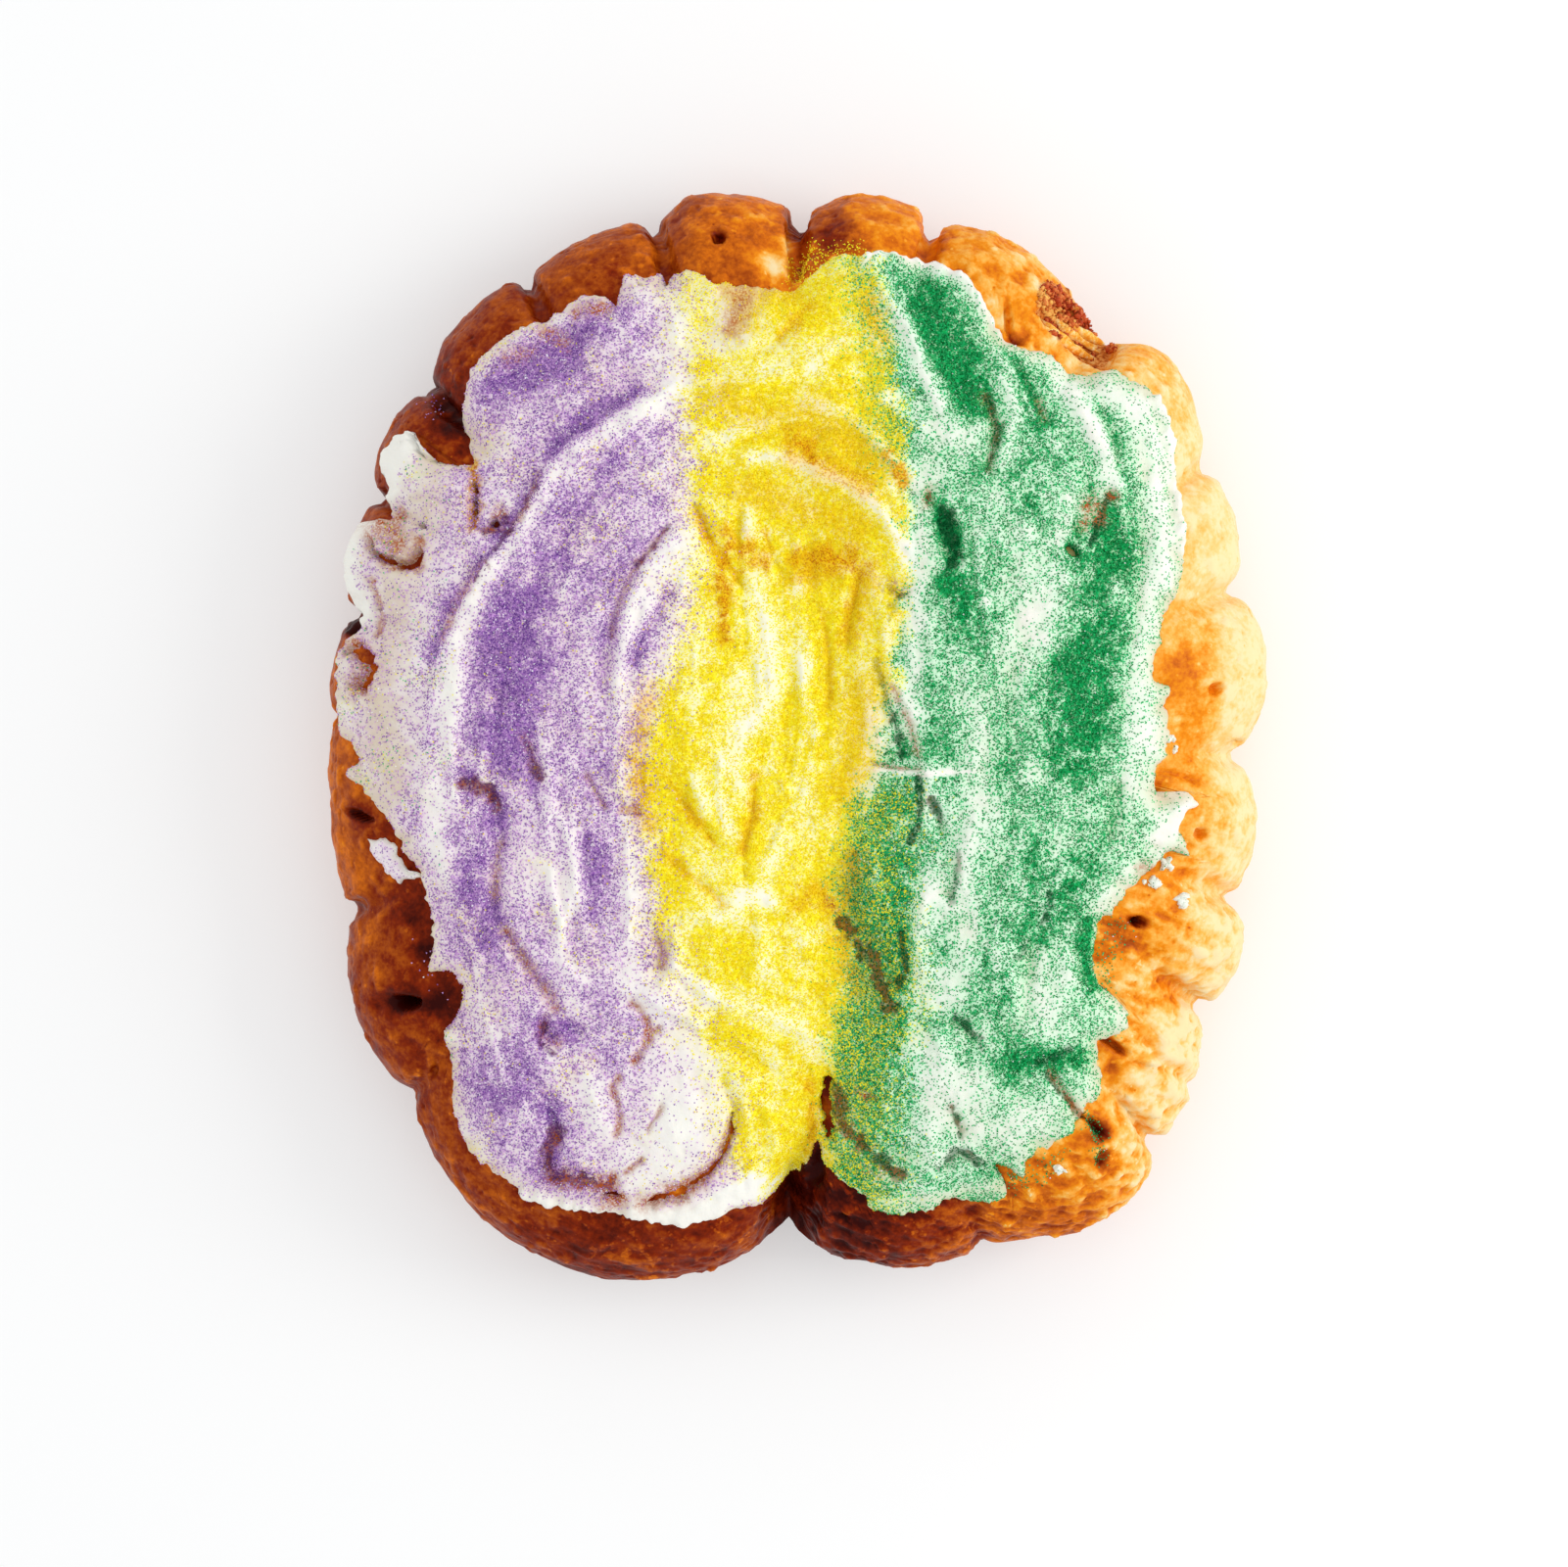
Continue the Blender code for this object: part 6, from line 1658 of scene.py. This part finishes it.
class Nodes:
    """A short way to write a material's nodes."""

    def __init__(self, name):
        self.material = bpy.data.materials.new(name)
        self.material.use_nodes = True
        self.tree = self.material.node_tree
        self.surface = self.tree.nodes["Principled BSDF"]

    def new(self, kind, **settings):
        node = self.tree.nodes.new("ShaderNode" + kind)
        for key, value in settings.items():
            setattr(node, key, value)
        return node

    def feed(self, sockets, values):
        """Links another node's output to each input, or sets a plain value on it."""
        for socket, value in zip(sockets, values):
            if isinstance(value, bpy.types.NodeSocket):
                self.tree.links.new(value, socket)
            else:
                socket.default_value = value

    def put(self, node, **values):
        self.feed([node.inputs[name.replace("_", " ")] for name in values], values.values())

    def attribute(self, name):
        return self.new("Attribute", attribute_name=name).outputs["Fac"]

    def noise(self, size, detail=3.0, roughness=0.55):
        node = self.new("TexNoise")
        place = self.new("TexCoord").outputs["Object"]
        self.put(node, Vector=place, Scale=1.0 / (size * MM), Detail=detail, Roughness=roughness)
        return node.outputs["Fac"]

    def cells(self, size):
        """How far each place is from its cell's middle, and the cell's three random numbers."""
        node = self.new("TexVoronoi")
        self.put(node, Vector=self.new("TexCoord").outputs["Object"], Scale=1.0 / (size * MM))
        dice = self.new("SeparateColor")
        self.put(dice, Color=node.outputs["Color"])
        return node.outputs["Distance"], *dice.outputs

    def math(self, operation, a, b, clamp=False):
        node = self.new("Math", operation=operation, use_clamp=clamp)
        self.feed(node.inputs, (a, b))
        return node.outputs[0]

    def plus(self, a, b):
        return self.math("ADD", a, b)

    def minus(self, a, b, clamp=False):
        return self.math("SUBTRACT", a, b, clamp)

    def times(self, a, b, clamp=False):
        return self.math("MULTIPLY", a, b, clamp)

    def over(self, a, b):
        return self.math("GREATER_THAN", a, b)

    def ramp(self, value, low, high, to_low=0.0, to_high=1.0):
        node = self.new("MapRange", interpolation_type="SMOOTHSTEP")
        self.put(node, Value=value, From_Min=low, From_Max=high, To_Min=to_low, To_Max=to_high)
        return node.outputs["Result"]

    def mix(self, share, a, b):
        node = self.new("Mix", data_type="RGBA")
        a, b = ((*end, 1.0) if isinstance(end, tuple) else end for end in (a, b))
        self.feed([node.inputs[k] for k in (0, 6, 7)], (share, a, b))
        return node.outputs[2]

    def colours(self, value, stops):
        node = self.new("ValToRGB")
        self.put(node, Fac=value)
        band = node.color_ramp
        for k, (place, colour) in enumerate(stops):
            stop = band.elements[k] if k < 2 else band.elements.new(place)
            stop.position = place
            stop.color = (*colour, 1.0)
        return node.outputs["Color"]

    def bump(self, height, strength, distance, before=None):
        node = self.new("Bump")
        self.put(node, Height=height, Strength=strength, Distance=distance * MM)
        if before is not None:
            self.put(node, Normal=before)
        return node.outputs["Normal"]

    def finish(self, **inputs):
        self.put(self.surface, **inputs)
        return self.material


# Colours of the crust from its darkest tone to its palest.
CRUST_TONES = (
    (0.0, (0.035, 0.002, 0.001)),
    (0.14, (0.100, 0.007, 0.001)),
    (0.28, (0.220, 0.018, 0.001)),
    (0.42, (0.400, 0.072, 0.004)),
    (0.54, (0.650, 0.145, 0.005)),
    (0.66, (0.830, 0.260, 0.007)),
    (0.78, (0.900, 0.430, 0.070)),
    (0.90, (0.900, 0.600, 0.230)),
    (1.0, (0.900, 0.700, 0.380)),
)
TORN_TONES = ((0.36, (0.22, 0.03, 0.008)), (0.48, (0.62, 0.17, 0.02)), (0.62, (0.90, 0.52, 0.16)))


def crust_material():
    n = Nodes("crust")
    upper, torn = n.attribute("upper"), n.attribute("torn")

    def spots(away, dice, near_to, far_from, low, high):
        """Round spots in the cells that the dice pick."""
        return n.times(n.ramp(away, near_to, far_from, 1.0, 0.0), n.ramp(dice, low, high))

    # The tone holds the crust's baking together with painted light on its right side, and painted
    # shade in its creases, cleft, dents and the troughs of its folds.
    tone = n.attribute("tone")
    tone = n.plus(tone, n.ramp(n.noise(6.0, 4.0, 0.6), 0.3, 0.7, -0.07, 0.07))
    tone = n.plus(tone, n.ramp(n.noise(1.3, 3.0, 0.6), 0.3, 0.7, -0.05, 0.05))
    limit = n.minus(0.74, n.times(n.attribute("fleck"), 0.17))
    flecks = n.ramp(n.minus(n.noise(3.4, 2.0, 0.65), limit), 0.0, 0.05)
    away, dice, other, _ = n.cells(3.0)
    pale = spots(away, dice, 0.10, 0.26, 0.74, 0.86)
    pores = spots(away, other, 0.06, 0.16, 0.80, 0.90)
    away, dice, _, _ = n.cells(7.0)
    broad = spots(away, dice, 0.08, 0.19, 0.60, 0.70)
    for change, strength in ((flecks, 0.13), (pale, 0.12), (broad, 0.11)):
        tone = n.plus(tone, n.times(n.times(change, upper), strength))
    tone = n.minus(tone, n.times(n.times(pores, upper), 0.14))
    inside = n.colours(n.noise(2.2, 5.0, 0.7), TORN_TONES)
    normal = n.bump(n.noise(0.9, 4.0, 0.65), 0.30, 0.25)
    rough = n.ramp(n.noise(3.0, 3.0), 0.3, 0.7, 0.26, 0.42)
    return n.finish(
        Base_Color=n.mix(n.ramp(torn, 0.3, 0.7), n.colours(tone, CRUST_TONES), inside),
        Roughness=n.plus(rough, n.times(torn, 0.3)),
        Normal=n.bump(n.plus(flecks, pale), 0.30, 0.25, normal),
        Specular_IOR_Level=0.05,
    )


# Each sugar's darkest and lightest grains, then the icing under it where it is thin and where it
# is thick, and how soon it tints the icing (the smaller, the sooner).
SUGAR = {
    "purple": (
        (0.165, 0.052, 0.335), (0.760, 0.450, 0.810),
        (0.820, 0.600, 0.800), (0.380, 0.145, 0.520), 0.62,
    ),
    "yellow": (
        (0.900, 0.660, 0.003), (1.000, 0.960, 0.040),
        (0.980, 0.930, 0.220), (0.980, 0.840, 0.005), 0.50,
    ),
    "green": (
        (0.001, 0.130, 0.024), (0.020, 0.620, 0.190),
        (0.400, 0.880, 0.500), (0.001, 0.360, 0.080), 0.58,
    ),
}  # fmt: skip
THICK_ICING = (0.905, 0.885, 0.815)
THIN_ICING = (0.700, 0.600, 0.430)
CRUST_STAIN = (0.430, 0.090, 0.014)
# Painted shade in the deep folds: the dark colour for each sugar, how strong a fold's painted shade
# must be for the sugar to turn dark, and how far the deepest painted shade darkens it.
PAINTED_SHADE_SUGAR = {
    "purple": (0.12, 0.02, 0.12),
    "yellow": (0.16, 0.065, 0.002),
    "green": (0.001, 0.075, 0.018),
}
PAINTED_SHADE_RAMP = (0.15, 0.60)  # strengths of a dark fold between which the sugar turns dark
DEEPEST_PAINTED_SHADE = 0.85
AMBER_SUGAR = (0.640, 0.220, 0.003)
AMBER_BASE = (0.860, 0.520, 0.004)
# Painted glints: grains and cells whose shade is near the top are coloured near-white, standing in
# for light glinting off the sugar's facets.
PAINTED_GLINT = (0.93, 0.91, 0.93)
PAINTED_GLINT_FROM = {"purple": 0.960, "green": 0.990}  # shade above which a grain sparkles
SPECKLE = 0.46  # size of the grains in the icing's own surface


def icing_material():
    n = Nodes("icing")
    away, chance, shade, other = n.cells(SPECKLE)
    grain = n.ramp(away, 0.42, 0.66, 1.0, 0.0)
    clumps = n.ramp(n.noise(1.5, 3.0, 0.65), 0.30, 0.70, 0.60, 1.40)
    soft = n.ramp(n.noise(2.8, 3.0, 0.6), 0.3, 0.6, 0.6, 1.1)
    colour = n.mix(n.attribute("body"), THIN_ICING, THICK_ICING)
    covers = {name: n.times(n.attribute(name), clumps) for name in SUGAR}
    for name, (_, _, thin, thick, sooner) in SUGAR.items():
        amount = n.plus(covers[name], covers["yellow"]) if name == "green" else covers[name]
        stain = n.mix(n.ramp(amount, 0.40, 1.0), thin, thick)
        tint = n.math("POWER", n.minus(covers[name], 0.02, clamp=True), sooner, clamp=True)
        colour = n.mix(tint, colour, stain)
    covered = below = 0.0
    for name, (deep, light, _, _, _) in SUGAR.items():
        above = n.plus(below, covers[name])
        inside = n.times(n.times(n.over(chance, below), n.math("LESS_THAN", chance, above)), grain)
        colour = n.mix(inside, colour, n.mix(shade, deep, light))
        covered = n.plus(inside, covered)
        below = above
    # Painted glints: a few covered cells are coloured near-white, fewer where yellow or green lies.
    glint_room = n.minus(covered, n.times(n.math("POWER", covers["yellow"], 0.3), 1.2), clamp=True)
    glint_room = n.minus(glint_room, covers["green"], clamp=True)
    colour = n.mix(n.times(n.over(shade, 0.965), glint_room), colour, PAINTED_GLINT)
    amber = n.attribute("amber")
    colour = n.mix(n.times(amber, 1.1, clamp=True), colour, AMBER_BASE)
    speck = n.over(n.plus(n.times(amber, 0.55), other), 1.05)
    colour = n.mix(n.times(speck, amber), colour, AMBER_SUGAR)
    # Painted shade: in the deep folds the icing and its sugar are mixed towards dark colours.
    deep = n.mix(n.ramp(covers["green"], 0.02, 0.2), PAINTED_SHADE_SUGAR["yellow"], PAINTED_SHADE_SUGAR["green"])
    deep = n.mix(n.ramp(covers["purple"], 0.02, 0.2), deep, PAINTED_SHADE_SUGAR["purple"])
    dark = n.times(n.ramp(n.attribute("dark"), *PAINTED_SHADE_RAMP), soft, clamp=True)
    colour = n.mix(n.times(dark, DEEPEST_PAINTED_SHADE), colour, deep)
    stained = n.times(n.attribute("stained"), n.ramp(other, 0.0, 0.8, 0.35, 1.15))
    return n.finish(
        Base_Color=n.mix(n.times(stained, soft, clamp=True), colour, CRUST_STAIN),
        Roughness=n.ramp(covered, 0.0, 1.0, 0.55, 0.38),
        Normal=n.bump(covered, 0.4, 0.16, n.bump(n.noise(1.5, 4.0, 0.62), 0.60, 0.45)),
        Specular_IOR_Level=0.07,
        Subsurface_Weight=0.06,
        Subsurface_Radius=(0.003, 0.0025, 0.002),
        Subsurface_Scale=0.4,
    )


def sugar_material(name):
    deep, light, _, _, _ = SUGAR[name]
    n = Nodes("sugar_" + name)
    shade = n.attribute("shade")
    colour = n.mix(shade, deep, light)
    if name == "yellow":
        amber = n.attribute("amber")
        colour = n.mix(amber, colour, AMBER_BASE)
        speck = n.over(n.plus(n.times(amber, 0.5), shade), 1.1)
        colour = n.mix(n.times(speck, amber), colour, AMBER_SUGAR)
    else:
        # Painted glint: the grains with the highest shade are coloured near-white.
        colour = n.mix(n.over(shade, PAINTED_GLINT_FROM[name]), colour, PAINTED_GLINT)
    # Painted shade: in the deep folds the grain is mixed towards a dark colour.
    dark = n.ramp(n.attribute("dark"), *PAINTED_SHADE_RAMP, 0.0, DEEPEST_PAINTED_SHADE)
    colour = n.mix(dark, colour, PAINTED_SHADE_SUGAR[name])
    return n.finish(Base_Color=colour, Roughness=0.25, Specular_IOR_Level=0.15)


def filling_material():
    n = Nodes("filling")
    lumps = n.noise(1.1, 5.0, 0.7)
    shade = n.plus(n.times(n.attribute("shade"), 0.5), n.times(lumps, 0.6))
    colour = n.colours(shade, (
        (0.22, (0.20, 0.010, 0.002)), (0.44, (0.56, 0.075, 0.018)), (0.60, (0.78, 0.24, 0.06)),
        (0.78, (0.92, 0.52, 0.12)),
    ))  # fmt: skip
    normal = n.bump(lumps, 0.6, 0.4)
    return n.finish(Base_Color=colour, Roughness=0.45, Normal=normal, Specular_IOR_Level=0.10)


def strand_material():
    n = Nodes("dough_strands")
    colour = n.colours(n.noise(1.6, 4.0, 0.6), (
        (0.38, (0.82, 0.30, 0.02)), (0.50, (0.93, 0.50, 0.07)), (0.64, (0.96, 0.76, 0.36)),
    ))  # fmt: skip
    normal = n.bump(n.noise(0.6, 3.0), 0.4, 0.2)
    return n.finish(Base_Color=colour, Roughness=0.5, Normal=normal, Specular_IOR_Level=0.06)


def floor_material():
    """A pale floor, lit a little from below."""
    n = Nodes("floor")
    return n.finish(
        Base_Color=n.mix(n.noise(90.0), (0.60, 0.60, 0.60), (0.61, 0.61, 0.61)),
        Roughness=0.8,
        Specular_IOR_Level=0.1,
        Emission_Color=(1.0, 1.0, 0.99, 1.0),
        Emission_Strength=0.36,
    )


# ---------------------------------------------------------------- studio, places in metres
LENS = 200.0
SENSOR = 36.0
FRAME_WIDTH = 434.7  # width in mm of the camera's view at LOOK_AT
LOOK_AT = (-3.9, -14.3, 40.0)
CAKE_MIDDLE = (0.0, 0.0, 0.03)
KEY_PLACE = (1.25, 0.15, 0.85)
KEY_SIZE = 0.8
KEY_POWER = 8.5
KEY_COLOUR = (1.0, 0.985, 0.96)
SKY_COLOUR = (0.97, 0.985, 1.0, 1.0)
SKY_STRENGTH = 0.92
FLOOR_SIZE = 12.0


def make_camera():
    data = bpy.data.cameras.new("camera")
    data.lens = LENS
    data.sensor_width = SENSOR
    data.clip_end = 20.0
    camera = bpy.data.objects.new("camera", data)
    away = FRAME_WIDTH * LENS / SENSOR
    camera.location = (LOOK_AT[0] * MM, LOOK_AT[1] * MM, (LOOK_AT[2] + away) * MM)
    bpy.context.scene.collection.objects.link(camera)
    bpy.context.scene.camera = camera


def make_key_light():
    data = bpy.data.lights.new("key", "AREA")
    data.shape = "RECTANGLE"
    data.size = data.size_y = KEY_SIZE
    data.energy = KEY_POWER
    data.color = KEY_COLOUR
    light = bpy.data.objects.new("key", data)
    light.location = KEY_PLACE
    aim = Vector(CAKE_MIDDLE) - Vector(KEY_PLACE)
    light.rotation_euler = aim.to_track_quat("-Z", "Y").to_euler()
    bpy.context.scene.collection.objects.link(light)


def make_studio():
    make_key_light()
    world = bpy.data.worlds.new("studio")
    bpy.context.scene.world = world
    world.use_nodes = True
    back = world.node_tree.nodes["Background"]
    back.inputs["Color"].default_value = SKY_COLOUR
    back.inputs["Strength"].default_value = SKY_STRENGTH
    bpy.ops.mesh.primitive_plane_add(size=FLOOR_SIZE)
    floor = bpy.context.object
    floor.name = "floor"
    floor.data.materials.append(floor_material())
    view = bpy.context.scene.view_settings
    view.view_transform = "Standard"
    view.look = "None"
    view.exposure = 0.0
    view.gamma = 1.0


# ---------------------------------------------------------------- assembly


def dress(item, material, slot_name, *replaced):
    item.data.materials.append(material)
    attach(item, "root")
    if replaced:
        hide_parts(*replaced)


def main():
    clear_startup()
    make_camera()
    make_studio()
    random = np.random.default_rng(FIRST_SEED)

    bread, crust, crust_faces = build_bread()
    dress(bread, crust_material(), "crust", "bread")

    icing, points, faces, cover = build_icing()
    icing_look = icing_material()
    dress(icing, icing_look, "icing", "icing")

    normal = normals_of(points, faces)
    crust_normal = normals_of(crust, crust_faces)
    for name, thick in zip(SUGAR, cover):
        full = np.zeros(len(points))
        full[: len(thick)] = thick
        places, thick = scattered(points, faces, normal, full, GRAINS, random)
        count, strokes = SPILLS[name]
        fallen = painted(strokes, crust[:, 0], crust[:, 1]) * (crust[:, 2] > WIDEST)
        spilled, little = scattered(crust, crust_faces, crust_normal, fallen, count, random)
        places, thick = np.concatenate([places, spilled]), np.concatenate([thick, little])
        item = grains("sugar_" + name, places, thick, random)
        dress(item, sugar_material(name), "sugar_" + name)

    crumbs = build_crumbs(crust, crust_faces, random)
    dress(crumbs, filling_material(), "filling", "filling")
    ground = ground_of(crust)
    dress(build_strands(ground, random), strand_material(), "crust")
    dress(build_dabs(ground, random), icing_look, "icing")
    dress(build_flake(), icing_look, "icing", "icing_flake")


main()
